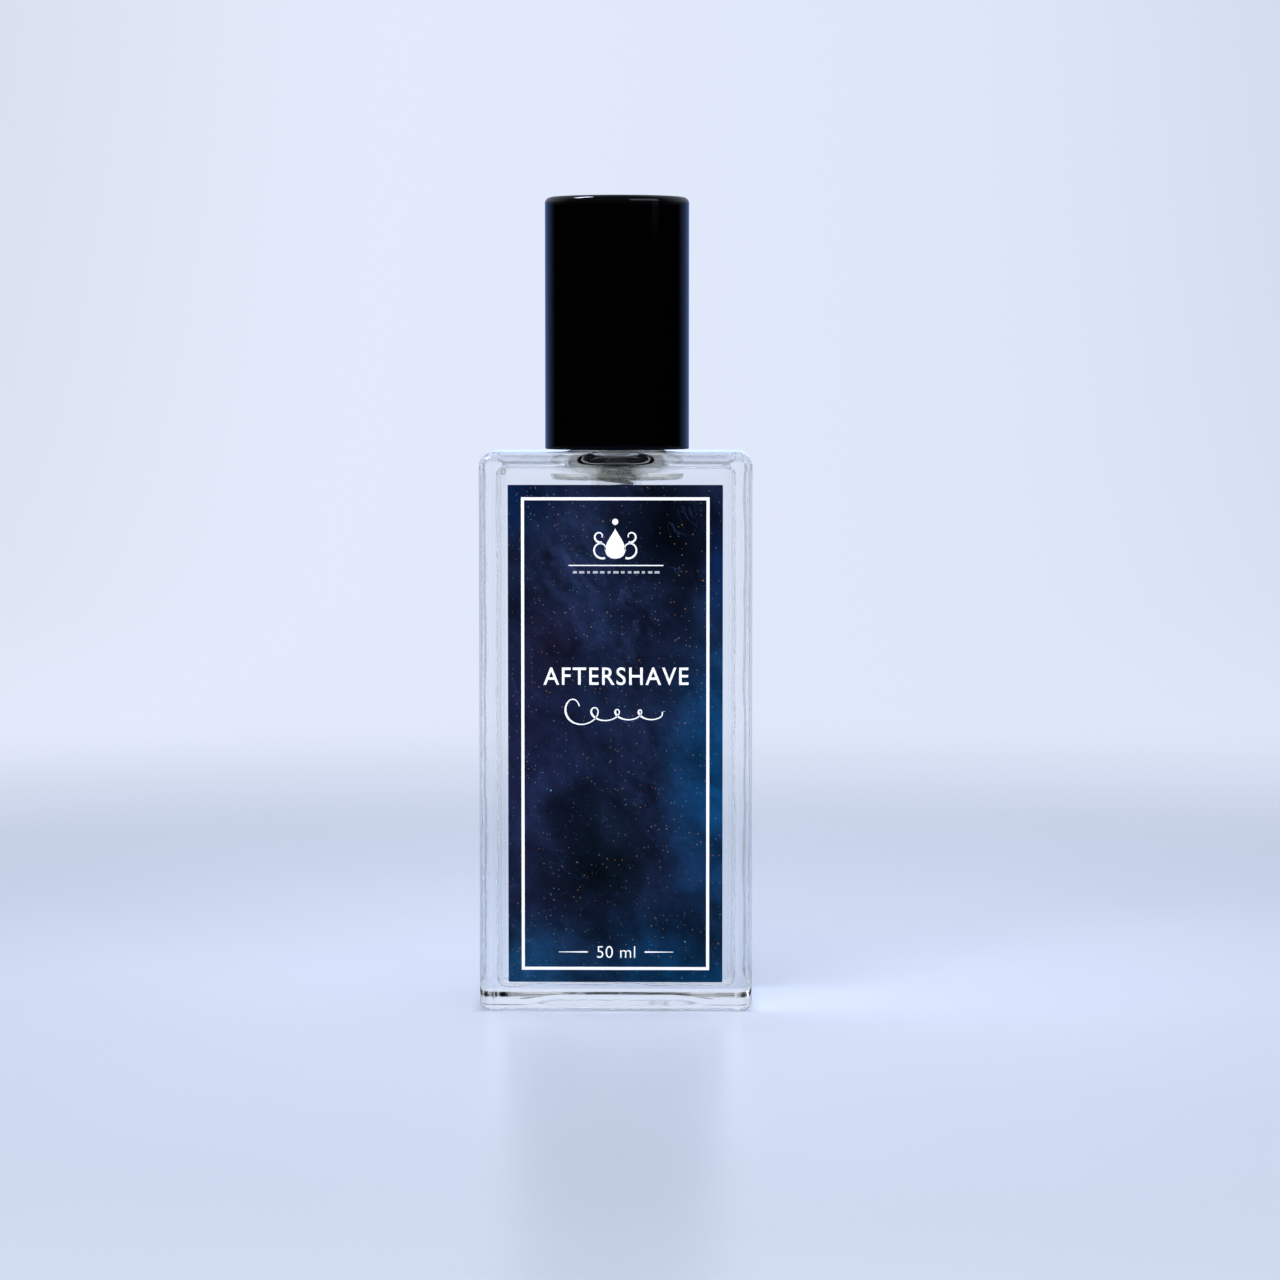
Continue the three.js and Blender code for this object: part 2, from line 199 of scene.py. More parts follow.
def turned(
    name: str, outline: Outline, radius: float = 0.12, sides: Sides = Sides.WIDE
) -> bpy.types.Object:
    """Makes a turned piece from an outline that runs up its outside.

    Args:
        name: the piece's name.
        outline: corners as (radius, height); it closes on itself, or starts and ends
            on the axis.
        radius: the softening of its corners.
        sides: how fine it is.

    Returns:
        The object.
    """
    profile = soften(outline, radius)
    if profile[0, 0] == 0:
        poles = (0, 0, profile[0, 1]), (0, 0, profile[-1, 1])
        return skin(name, circles(profile[1:-1], sides.value), *poles)
    return skin(name, circles(profile, sides.value), closed=True)


def tube_rings(path: Array, radius: float, columns: int, helix: bool = False) -> Array:
    """Carries a circle along a path that rises.

    The circle's first axis is square to the path and lies as near X as it can, or
    points away from the Z axis on a helix; its second is the path's direction crossed
    with the first.

    Args:
        path: the centre line, as (point, xyz).
        radius: the circle's radius.
        columns: the points on each circle.
        helix: True if the path winds round the Z axis.

    Returns:
        The rings, as (ring, column, xyz).
    """
    along = np.gradient(path, axis=0)
    along /= np.linalg.norm(along, axis=1, keepdims=True)
    first = path * [1, 1, 0] if helix else np.tile([1.0, 0, 0], (len(path), 1))
    first = first - along * np.sum(first * along, axis=1, keepdims=True)
    first /= np.linalg.norm(first, axis=1, keepdims=True)
    second = np.cross(along, first)
    angle = np.arange(columns) * 2 * np.pi / columns
    circle = (
        np.cos(angle)[None, :, None] * first[:, None]
        + np.sin(angle)[None, :, None] * second[:, None]
    )
    return path[:, None] + radius * circle


def join_shells(piece: bpy.types.Object, other: bpy.types.Object) -> None:
    """Adds the other object's mesh to the piece's, as a second shell, and removes it."""
    both = bmesh.new()
    both.from_mesh(piece.data)
    both.from_mesh(other.data)
    both.to_mesh(piece.data)
    both.free()
    piece.data.set_sharp_from_angle(angle=math.radians(35))
    bpy.data.objects.remove(other)


def even_faces(piece: bpy.types.Object) -> None:
    """Weights the normals by face area, so that flat faces stay flat beside fillets."""
    modifier = piece.modifiers.new("even_faces", "WEIGHTED_NORMAL")
    modifier.keep_sharp = True


# ---- finishes --------------------------------------------------------------------------
Colour = tuple[float, float, float]


def linear(colour: Colour) -> tuple[float, float, float, float]:
    """Turns a display colour from 0 to 1 into the linear colour that shaders take."""
    value = np.array(colour, float)
    low, high = value / 12.92, ((value + 0.055) / 1.055) ** 2.4
    return (*np.where(value <= 0.04045, low, high).tolist(), 1.0)


class Recipe:
    """A material being made: adds nodes to its tree and links them."""

    def __init__(self, name: str) -> None:
        """Starts an empty material.

        Args:
            name: the material's name.
        """
        self.material = bpy.data.materials.new(name)
        self.material.use_nodes = True
        self.tree = self.material.node_tree
        self.tree.nodes.clear()

    def add(self, kind: str, **settings: object) -> bpy.types.Node:
        """Adds a node.

        Args:
            kind: the node's type name, without ShaderNode in front.
            **settings: properties of the node by name, and inputs by their name with
                an underscore for each space, or in_N for the input at place N.

        Returns:
            The node.
        """
        node = self.tree.nodes.new("ShaderNode" + kind)
        inputs = []
        for key, value in settings.items():
            if hasattr(node, key):
                setattr(node, key, value)
            else:
                inputs.append((key, value))
        for key, value in inputs:
            self.feed(node, key, value)
        return node

    def feed(self, node: bpy.types.Node, key: str, value: object) -> None:
        """Sets or links one input of a node, as add() names it."""
        if key.startswith("in_"):
            socket = node.inputs[int(key[3:])]
        else:
            socket = node.inputs[key.replace("_", " ")]
        if isinstance(value, bpy.types.Node):
            value = value.outputs[0]
        if isinstance(value, bpy.types.NodeSocket):
            self.tree.links.new(value, socket)
        else:
            socket.default_value = value

    def place(self) -> bpy.types.NodeSocket:
        """Returns the point on the object, in millimetres."""
        where = self.add("TexCoord").outputs["Object"]
        scaled = self.add("VectorMath", operation="SCALE", in_0=where, Scale=1 / MM)
        return scaled.outputs[0]

    def part(self, vector: object, axis: str) -> bpy.types.NodeSocket:
        """Returns one component of a vector."""
        return self.add("SeparateXYZ", in_0=vector).outputs[axis]

    def math(self, operation: str, a: object, b: object = 0.0) -> bpy.types.Node:
        """Adds a Math node."""
        return self.add("Math", operation=operation, in_0=a, in_1=b)

    def ramp(
        self, value: object, low: float, high: float, start: float = 0.0, stop: float = 1.0
    ) -> bpy.types.NodeSocket:
        """Maps a value smoothly from low..high to start..stop, held outside them."""
        node = self.add("MapRange", interpolation_type="SMOOTHSTEP", in_0=value)
        for place, number in zip((1, 2, 3, 4), (low, high, start, stop), strict=True):
            node.inputs[place].default_value = number
        return node.outputs[0]

    def mix(
        self, factor: object, a: object, b: object, blend: str = "MIX"
    ) -> bpy.types.NodeSocket:
        """Blends two colours and returns the result."""
        node = self.add("Mix", data_type="RGBA", blend_type=blend)
        self.feed(node, "in_0", factor)
        self.feed(node, "in_6", a)
        self.feed(node, "in_7", b)
        return node.outputs[2]

    def noise(
        self, vector: object, scale: float, detail: float, rough: float = 0.5
    ) -> bpy.types.Node:
        """Adds a Noise Texture over a place in millimetres."""
        return self.add("TexNoise", Vector=vector, Scale=scale, Detail=detail, Roughness=rough)

    def mirrored(self) -> bpy.types.Node:
        """Adds a value that is 1 for what shows in a mirror, and 0 for all other light."""
        path = self.add("LightPath").outputs
        return self.math("SUBTRACT", path["Is Glossy Ray"], path["Is Transmission Ray"])

    def finish(self, shader: object) -> bpy.types.Material:
        """Links the shader to the output and returns the material."""
        self.add("OutputMaterial", Surface=shader)
        return self.material


class WorldRecipe(Recipe):
    """A world being made, with the same ways to add nodes as a material has."""

    def __init__(self, name: str) -> None:
        """Starts an empty world.

        Args:
            name: the world's name.
        """
        self.world = bpy.data.worlds.new(name)
        self.world.use_nodes = True
        self.tree = self.world.node_tree
        self.tree.nodes.clear()


@dataclass(frozen=True)
class ClearFinish:
    """A clear solid: glass, liquid or clear plastic, seen from one side of its face.

    ior is the ratio of the two sides' refractive indices. Lamps shine through it, so
    that what stands behind or under it isn't black.
    """

    name: str
    tint: Colour
    ior: float
    roughness: float = 0.0
    ripple: float = 0.0
    alpha: float = 1.0

    def make(self) -> bpy.types.Material:
        """Returns the material."""
        r = Recipe(self.name)
        glass = r.add(
            "BsdfPrincipled", Base_Color=linear(self.tint), Roughness=self.roughness,
            IOR=self.ior, Transmission_Weight=1.0, Alpha=self.alpha,
        )
        if self.ripple:
            waves = r.noise(r.place(), 0.16, 2.0)
            bump = r.add("Bump", Strength=1.0, Distance=self.ripple * MM, Height=waves)
            r.feed(glass, "Normal", bump)
        lamp_side = r.add("BsdfTransparent", Color=linear(self.tint))
        path = r.add("LightPath").outputs["Is Shadow Ray"]
        return r.finish(r.add("MixShader", in_0=path, in_1=glass, in_2=lamp_side))


@dataclass(frozen=True)
class SolidFinish:
    """An opaque moulded, turned or pressed finish with fine grain and slight wear.

    grain is the size of the texture in cycles per millimetre, depth how deep it is in
    millimetres, and uneven how much the roughness wanders.
    """

    name: str
    colour: Colour
    roughness: float
    metal: float = 0.0
    specular: float = 0.5
    coat: float = 0.0
    grain: float = 6.0
    depth: float = 0.0
    uneven: float = 0.05
    brushed: bool = False
    mottle: float = 0.18
    alpha: float = 1.0

    def make(self) -> bpy.types.Material:
        """Returns the material."""
        r = Recipe(self.name)
        place = r.place()
        stretch = (1.0, 1.0, 14.0) if self.brushed else (1.0, 1.0, 1.0)
        grained = r.add("VectorMath", operation="MULTIPLY", in_0=place, in_1=stretch)
        fine = r.noise(grained, self.grain, 3.0)
        broad = r.noise(place, 0.22, 3.0, 0.6)
        low, high = self.roughness - self.uneven, self.roughness + self.uneven
        rough = r.ramp(broad, 0.3, 0.7, max(low, 0.02), high)
        dark = tuple((1 - self.mottle) * c for c in self.colour)
        tone = r.mix(r.ramp(fine, 0.35, 0.65), linear(dark), linear(self.colour))
        shader = r.add(
            "BsdfPrincipled", Base_Color=tone, Roughness=rough, Metallic=self.metal,
            Specular_IOR_Level=self.specular, Coat_Weight=self.coat, Coat_Roughness=0.03,
            Alpha=self.alpha,
        )
        if self.depth:
            bump = r.add("Bump", Strength=1.0, Distance=self.depth * MM, Height=fine)
            r.feed(shader, "Normal", bump)
        return r.finish(shader)


@dataclass(frozen=True)
class CapFinish:
    """Polished black plastic with a little dust and faint handling marks."""

    name: str = "cap_black_gloss"

    def make(self) -> bpy.types.Material:
        """Returns the material."""
        r = Recipe(self.name)
        place = r.place()
        dust = r.add("TexVoronoi", Vector=place, Scale=0.8, Randomness=1.0)
        picked = r.part(dust.outputs["Color"], "X")
        speck = r.math(
            "MULTIPLY",
            r.ramp(dust.outputs["Distance"], 0.05, 0.02),
            r.math("GREATER_THAN", picked, 0.86),
        )
        tone = r.mix(speck, linear((0.004, 0.004, 0.006)), linear((0.16, 0.17, 0.2)))
        smears = r.noise(place, 0.12, 4.0, 0.6)
        rough = r.ramp(smears, 0.35, 0.7, 0.05, 0.1)
        swell = r.noise(place, 0.09, 1.0)
        bump = r.add("Bump", Strength=1.0, Distance=0.012 * MM, Height=swell)
        return r.finish(
            r.add(
                "BsdfPrincipled", Base_Color=tone, Roughness=rough, Normal=bump,
                Specular_IOR_Level=0.42,
            )
        )


@dataclass(frozen=True)
class NightSkyFinish:
    """The label's printed night sky: navy cloud, pale wisps and small stars.

    left, bottom, width and height are the printed face, in millimetres. A patch is its
    centre as shares of the width and height, its radius, its stretch upwards, its
    strength and its colour, and a wisp is the same without a colour. A layer of stars is
    its spacing, the stars' radius, the share of cells that hold one and its brightness.
    """

    left: float
    bottom: float
    width: float
    height: float
    name: str = "label_night_sky"
    patches: tuple[tuple[float, float, float, float, float, Colour], ...] = (
        (0.02, 0.45, 13, 2.4, 0.9, (0.1, 0.12, 0.24)),
        (0.2, 0.68, 7, 1.6, 0.8, (0.1, 0.085, 0.175)),
        (0.34, 0.82, 10, 1.4, 0.6, (0.1, 0.14, 0.255)),
        (0.72, 0.9, 12, 1.4, 1.0, (0.0, 0.025, 0.07)),
        (1.03, 0.84, 7, 1.9, 0.9, (0.0, 0.12, 0.29)),
        # The patches centred past the right edge and on the bottom edge make the sky a lighter teal
        # there.
        (1.1, 0.42, 15, 2.3, 1.0, (0.01, 0.27, 0.45)),
        (0.42, 0.25, 12, 1.25, 0.95, (0.02, 0.062, 0.1)),
        (0.75, 0.02, 16, 0.9, 0.9, (0.0, 0.185, 0.31)),
        (0.08, -0.02, 16, 0.9, 1.0, (0.08, 0.26, 0.41)),
        (-0.02, 1.03, 14, 0.9, 1.0, (0.0, 0.12, 0.28)),
        (1.0, -0.02, 12, 0.8, 0.9, (0.0, 0.2, 0.33)),
    )
    wisps: tuple[tuple[float, float, float, float, float], ...] = (
        (0.3, 0.84, 8, 1.5, 0.65),
        (0.52, 0.72, 8, 1.7, 0.5),
        (0.62, 0.45, 9, 1.6, 0.3),
        (0.12, 0.3, 7, 1.8, 0.22),
        (0.9, 0.76, 6, 1.6, 0.2),
    )
    layers: tuple[tuple[float, float, float, float], ...] = (
        (0.55, 0.11, 0.5, 0.5),
        (2.2, 0.16, 0.45, 1.0),
        (7.0, 0.26, 0.4, 0.6),
    )

    def glow(
        self, r: Recipe, place: object, x: float, z: float, size: float, stretch: float = 1.0
    ) -> bpy.types.NodeSocket:
        """Returns a soft round patch, 1 at its centre and 0 at its edge.

        Args:
            r: the recipe.
            place: the point, in millimetres.
            x: the centre from the left edge, as a share of the width.
            z: the centre from the bottom edge, as a share of the height.
            size: the radius across.
            stretch: the radius upwards, as a multiple of size.
        """
        centre = (self.left + x * self.width, 0.0, self.bottom + z * self.height)
        away = r.add("VectorMath", operation="SUBTRACT", in_0=place, in_1=centre)
        scale = (1 / size, 0.0, 1 / (size * stretch))
        away = r.add("VectorMath", operation="MULTIPLY", in_0=away, in_1=scale)
        length = r.add("VectorMath", operation="LENGTH", in_0=away).outputs["Value"]
        return r.ramp(length, 1.0, 0.0)

    def stars(
        self, r: Recipe, place: object, spacing: float, radius: float, share: float, power: float
    ) -> tuple[bpy.types.NodeSocket, bpy.types.NodeSocket]:
        """Returns the light and the colour of one layer of stars.

        Stars are orange, cream or teal.

        Args:
            r: the recipe.
            place: the point, in millimetres.
            spacing: the size of the cells, each of which may hold one star.
            radius: the stars' radius.
            share: a cell holds a star if its random number is above 1 - share.
            power: the brightest star's strength.
        """
        cells = r.add("TexVoronoi", Vector=place, Scale=1 / spacing, Randomness=1.0)
        chance = r.part(cells.outputs["Color"], "X")
        hue = r.part(cells.outputs["Color"], "Y")
        near = r.ramp(cells.outputs["Distance"], radius / spacing, 0.35 * radius / spacing)
        lit = r.math("MULTIPLY", near, r.math("GREATER_THAN", chance, 1 - share))
        level = r.ramp(r.part(cells.outputs["Color"], "Z"), 0, 1, 0.25, power)
        bright = r.math("MULTIPLY", lit, level)
        orange, cream = linear((0.85, 0.62, 0.35)), linear((0.8, 0.82, 0.6))
        warm = r.mix(r.ramp(hue, 0.15, 0.35), orange, cream)
        tone = r.mix(r.ramp(hue, 0.65, 0.9), warm, linear((0.42, 0.7, 0.76)))
        return bright.outputs[0], tone

    def make(self) -> bpy.types.Material:
        """Returns the material."""
        r = Recipe(self.name)
        flat = r.add("VectorMath", operation="MULTIPLY", in_0=r.place(), in_1=(1, 0, 1))
        bend = r.noise(flat, 0.07, 3.0, 0.55)
        bend = r.add(
            "VectorMath", operation="SUBTRACT", in_0=bend.outputs["Color"], in_1=(0.5,) * 3
        )
        offset = r.add("VectorMath", operation="SCALE", in_0=bend, Scale=9.0)
        place = r.add("VectorMath", operation="ADD", in_0=flat, in_1=offset)

        tone = linear((0.072, 0.112, 0.212))
        for x, z, size, stretch, share, colour in self.patches:
            patch = r.math("MULTIPLY", self.glow(r, place, x, z, size, stretch), share)
            tone = r.mix(patch, tone, linear(colour))
        slanted = r.add(
            "VectorRotate", rotation_type="Y_AXIS", Vector=place, Angle=math.radians(34)
        )
        drawn = r.add("VectorMath", operation="MULTIPLY", in_0=slanted, in_1=(1, 1, 0.3))
        streaks = r.ramp(r.noise(drawn, 0.3, 7.0, 0.62), 0.3, 0.75, 0.74, 1.35)
        cloud = r.ramp(r.noise(place, 0.13, 7.0, 0.58), 0.32, 0.68, 0.5, 1.15)
        tone = r.mix(1.0, tone, r.math("MULTIPLY", streaks, cloud), "MULTIPLY")
        ridge = r.math("ABSOLUTE", r.math("SUBTRACT", r.noise(drawn, 0.16, 6.0, 0.6), 0.5))
        wisp = r.math(
            "ADD", r.ramp(ridge, 0.075, 0.0, 0.0, 0.6), r.ramp(ridge, 0.02, 0.0, 0.0, 0.4)
        )
        smoke = r.ramp(r.noise(place, 0.2, 8.0, 0.62), 0.42, 0.72)
        line = r.math("ABSOLUTE", r.math("SUBTRACT", r.noise(drawn, 0.4, 2.5, 0.5), 0.5))
        threads = r.math("MULTIPLY", r.ramp(line, 0.012, 0.0, 0.0, 0.3), smoke)
        tone = r.mix(threads, tone, linear((0.2, 0.29, 0.46)))
        for x, z, size, stretch, share in self.wisps:
            here = r.math("MULTIPLY", self.glow(r, place, x, z, size, stretch), share)
            veil = r.math("MULTIPLY", r.math("ADD", r.math("MULTIPLY", wisp, 0.6), smoke), here)
            tone = r.mix(veil, tone, linear((0.175, 0.235, 0.39)))

        haze = r.ramp(r.noise(place, 0.1, 2.0), 0.35, 0.6, 0.45, 1.0)
        for layer in self.layers:
            light, hue = self.stars(r, flat, *layer)
            tone = r.mix(r.math("MULTIPLY", light, haze), tone, hue)
        fine = r.noise(flat, 5.0, 2.0)
        tone = r.mix(1.0, tone, r.ramp(fine, 0.3, 0.7, 0.85, 1.15), "MULTIPLY")
        return r.finish(
            r.add(
                "BsdfPrincipled", Base_Color=tone, Specular_IOR_Level=0.06,
                Roughness=r.ramp(fine, 0.3, 0.7, 0.34, 0.46),
            )
        )


# ---- pieces ----------------------------------------------------------------------------
@dataclass(frozen=True)
class Place:
    """Where a piece belongs: its body, its slot, which is not used, and the nodes it stands for."""

    body: str
    slot: str
    nodes: tuple[str, ...] = ()

    def settle(self, piece: bpy.types.Object, *finishes: bpy.types.Material) -> bpy.types.Object:
        """Dresses a piece, if finishes are given, and tells the frame about it.

        Args:
            piece: the object.
            *finishes: its materials, in slot order.

        Returns:
            The same object.
        """
        for finish in finishes:
            piece.data.materials.append(finish)
        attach(piece, self.body)
        if self.nodes:
            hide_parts(*self.nodes)
        log.info("%s: %d faces, rides %s", piece.name, len(piece.data.polygons), self.body)
        return piece


@dataclass(frozen=True)
class PlanShape:
    """A rectangle with round corners, as columns that every ring of the bottle shares.

    A column has a normal angle and the place of its arc's centre, as shares of the two
    half sizes. Circles use the columns' own angles round the axis, so that a ring can
    blend from a rectangle to a circle.
    """

    half_x: float
    half_y: float
    corner_steps: int = 12
    long_steps: int = 46
    short_steps: int = 28

    def columns(self) -> tuple[Array, Array, Array]:
        """Returns each column's normal angle and its centre's share in X and Y."""
        angles, share_x, share_y = [], [], []
        signs = ((1, 1), (-1, 1), (-1, -1), (1, -1))
        for corner, (sx, sy) in enumerate(signs):
            arc = (corner + np.linspace(0, 1, self.corner_steps + 1)) * np.pi / 2
            steps = self.long_steps if corner % 2 == 0 else self.short_steps
            nx, ny = signs[(corner + 1) % 4]
            way = np.linspace(0, 1, steps + 1)[1:-1]
            way = 0.5 - 0.5 * np.cos(np.pi * way)
            angles += [arc, np.full(len(way), arc[-1])]
            share_x += [np.full(len(arc), sx), sx + (nx - sx) * way]
            share_y += [np.full(len(arc), sy), sy + (ny - sy) * way]
        return np.concatenate(angles), np.concatenate(share_x), np.concatenate(share_y)

    def rectangle(self, half_x: float, half_y: float, corner: float) -> Array:
        """Returns a round-cornered rectangle as (column, 2)."""
        angle, share_x, share_y = self.columns()
        x = share_x * (half_x - corner) + corner * np.cos(angle)
        y = share_y * (half_y - corner) + corner * np.sin(angle)
        return np.stack([x, y], axis=-1)

    def circle(self, radius: float, flat: float = 1.0) -> Array:
        """Returns a circle as (column, 2), on the rectangle's own bearings.

        Args:
            radius: its radius along X.
            flat: its radius along Y, as a share of the other.
        """
        rim = self.rectangle(self.half_x, self.half_y, 2.0) / [self.half_x, self.half_y]
        angle = np.arctan2(rim[:, 1], rim[:, 0])
        return radius * np.stack([np.cos(angle), flat * np.sin(angle)], axis=-1)


def at_height(plan: Array, height: float | Array) -> Array:
    """Lifts plan points to a height, as (column, xyz)."""
    return np.concatenate([plan, np.broadcast_to(height, (len(plan),))[:, None]], axis=1)


@dataclass
class GlassBottle:
    """The glass: a rectangular body with a thick base, a flat shoulder and a neck.

    Under the bore the glass opens in a shallow funnel: from the bore at funnel_top it
    spreads to the ledge, then falls to the roof at the funnel's radius, just inside the
    bubble's rim. oval and ledge_oval are their depths as shares of their widths.
    """

    corner: float = 2.0
    edge: float = 1.1
    shoulder_edge: float = 2.1
    side_wall: float = 2.4
    front_wall: float = 2.2
    base: float = 3.5
    recess: float = 0.8
    neck_foot: float = 7.6
    roof: float = 2.1
    shoulder: float = 82.0
    cavity_corner: float = 3.2
    cavity_edge: float = 1.2
    bore: float = 4.8
    bubble: float = 9.7
    funnel: float = 9.4
    ledge: float = 7.6
    ledge_height: float = 81.1
    funnel_top: float = 82.4
    ledge_oval: float = 0.87
    oval: float = 0.89
    box: NodeBox = field(default_factory=lambda: NodeBox.of("glass_bottle"))

    def __post_init__(self) -> None:
        """Works out the half sizes and the shared plan."""
        self.half_x = float(self.box.high[0])
        self.half_y = float(self.box.high[1])
        self.inner_x = self.half_x - self.side_wall
        self.inner_y = self.half_y - self.front_wall
        self.cavity_top = self.shoulder - self.roof
        self.plan = PlanShape(self.half_x, self.half_y)

    def edge_ring(
        self, half_x: float, half_y: float, corner: float, edge: float, angle: float, height: float
    ) -> Array:
        """Returns one ring of a rounded edge.

        The edge's arc has its centre edge inside the outline, and the ring is where it
        has turned by the angle from level to upright.
        """
        inset = edge * (1 - math.cos(angle))
        plan = self.plan.rectangle(half_x - inset, half_y - inset, max(corner - inset, 0.3))
        return at_height(plan, height + edge * math.sin(angle))

    def outer_rings(self) -> list[Array]:
        """Returns the rings from the recess in the base up to the neck's lip."""
        plan, edge = self.plan, self.edge
        turns = np.linspace(-np.pi / 2, 0, 10)
        rings = [at_height(plan.rectangle(4, 1.5, 1), self.recess)]
        for t in np.linspace(0, 1, 10):
            ease = 0.5 + 0.5 * math.cos(math.pi * t)
            ring = plan.rectangle(8.7 + 7 * t, 3.2 + 5 * t, 1.5 + 3.5 * t)
            rings.append(at_height(ring, self.recess * ease))
        rim = plan.rectangle(self.half_x - edge - 0.4, self.half_y - edge - 0.4, 1.2)
        rings.append(at_height(rim, 0.0))
        outer = (self.half_x, self.half_y, self.corner, edge)
        rings += [self.edge_ring(*outer, a, edge) for a in turns]
        round_top = self.shoulder_edge
        heights = np.linspace(edge, self.shoulder - round_top, 26)[1:-1]
        side = plan.rectangle(self.half_x, self.half_y, self.corner)
        rings += [at_height(side, z) for z in heights]
        top = (self.half_x, self.half_y, self.corner, round_top)
        rings += [self.edge_ring(*top, a, self.shoulder - round_top) for a in -turns[::-1]]
        flat = plan.rectangle(self.half_x - round_top, self.half_y - round_top, 0.3)
        foot = plan.circle(self.neck_foot)
        for t in (0.08, 0.35, 0.7, 1.0):
            rings.append(at_height((1 - t) * flat + t * foot, self.shoulder))
        neck = [
            (self.neck_foot, 82), (6.6, 82.15), (6.6, 88.7), (7.5, 89.5), (7.5, 92.5), (6.2, 92.5),
        ]
        rings += [at_height(plan.circle(r), z) for r, z in soften(neck, 0.5)[5:]]
        return rings

    def bore_rings(self) -> list[Array]:
        """Returns the dry rings: the lip, the bore and the funnel out to the bubble."""
        plan, top = self.plan, self.box.top
        lip = soften([(6.0, top), (self.bore, top), (self.bore, 85)], 0.35)[5:10]
        rings = [at_height(plan.circle(r), z) for r, z in lip]
        rings += [at_height(plan.circle(self.bore), z) for z in (90.0, 87.0, 84.0)]
        foot = [
            (self.bore, 84.0), (self.bore, self.funnel_top), (self.ledge, self.ledge_height),
            (self.funnel, self.cavity_top), (self.bubble, self.cavity_top),
        ]
        radii, ovals = (self.bore, self.ledge, self.funnel), (1.0, self.ledge_oval, self.oval)
        for r, z in soften(foot, 0.45, steps=7)[8:32]:
            flat = float(np.interp(r, radii, ovals))
            rings.append(at_height(plan.circle(r, flat), z))
        return rings

    def cavity_rings(self, inset: float = 0.0) -> list[Array]:
        """Returns the wetted rings, from the bubble's rim down to the cavity's floor.

        The walls and the floor of blown glass aren't true: each point moves along its
        ring's outward way by a sum of slow sines of its height and its bearing.

        Args:
            inset: how far inside the glass the rings lie.
        """
        plan = self.plan
        half_x, half_y = self.inner_x - inset, self.inner_y - inset
        corner, edge = self.cavity_corner, self.cavity_edge
        roof, floor = self.cavity_top - inset, self.base + inset
        turns = np.linspace(0, np.pi / 2, 10)
        top = plan.rectangle(half_x - edge, half_y - edge, corner - edge)
        rim = plan.circle(self.bubble, self.oval)
        rings = [at_height((1 - t) * rim + t * top, roof) for t in (0.0, 0.35, 0.75, 0.94)]
        box = (half_x, half_y, corner, edge)
        rings += [self.edge_ring(*box, a, roof - edge) for a in turns[::-1]]
        side = plan.rectangle(half_x, half_y, corner)
        rings += [at_height(side, z) for z in np.linspace(roof - edge, floor + edge, 40)[1:-1]]
        rings += [self.edge_ring(*box, -a, floor + edge) for a in turns]
        for t in (0.85, 0.65, 0.45, 0.25, 0.1):
            rings.append(at_height(top * t, floor))
        grid = np.array(rings)
        bearing = np.arctan2(grid[..., 1] / self.half_y, grid[..., 0] / self.half_x)
        height = grid[..., 2]
        wave = (
            0.05 * np.sin(0.21 * height + 2 * bearing)
            + 0.04 * np.sin(0.47 * height - 3 * bearing + 1.3)
            + 0.03 * np.sin(0.9 * height + 5 * bearing + 0.4)
        )
        within = np.clip((roof - 1.0 - height) / 4, 0, 1)
        grid[..., 0] -= wave * within * np.cos(bearing)
        grid[..., 1] -= wave * within * np.sin(bearing)
        low = np.clip((floor + 6 - height) / 6, 0, 1) ** 2
        x, y = grid[..., 0], grid[..., 1]
        sag = 0.35 * np.cos(x / half_x * np.pi / 2) + 0.12 * np.sin(0.55 * x + 0.8)
        grid[..., 2] += low * (sag - 0.25 + 0.08 * np.sin(0.9 * x + 0.7 * y))
        return list(grid)

    def build(self) -> None:
        """Builds and dresses the bottle."""
        outer, dry, wet = self.outer_rings(), self.bore_rings(), self.cavity_rings()
        rings = np.array(outer + dry + wet)
        floor = float(wet[-1][:, 2].mean())
        piece = skin("bottle_glass", rings, (0, 0, self.recess), (0, 0, floor), sharp=180)
        columns = rings.shape[1]
        slots = np.zeros(len(piece.data.polygons), np.int32)
        first_wet = (len(outer) + len(dry)) * columns
        slots[first_wet : (len(rings) - 1) * columns] = 1
        slots[-columns:] = 1
        dry_glass = ClearFinish("glass_clear", (0.985, 0.992, 1.0), 1.5, ripple=0.03)
        wet_glass = ClearFinish("glass_wetted", (0.99, 0.995, 1.0), 1.08, alpha=0.5)
        place = Place("bottle", "clear_glass", ("glass_bottle",))
        place.settle(piece, dry_glass.make(), wet_glass.make())
        piece.data.polygons.foreach_set("material_index", slots)
        even_faces(piece)


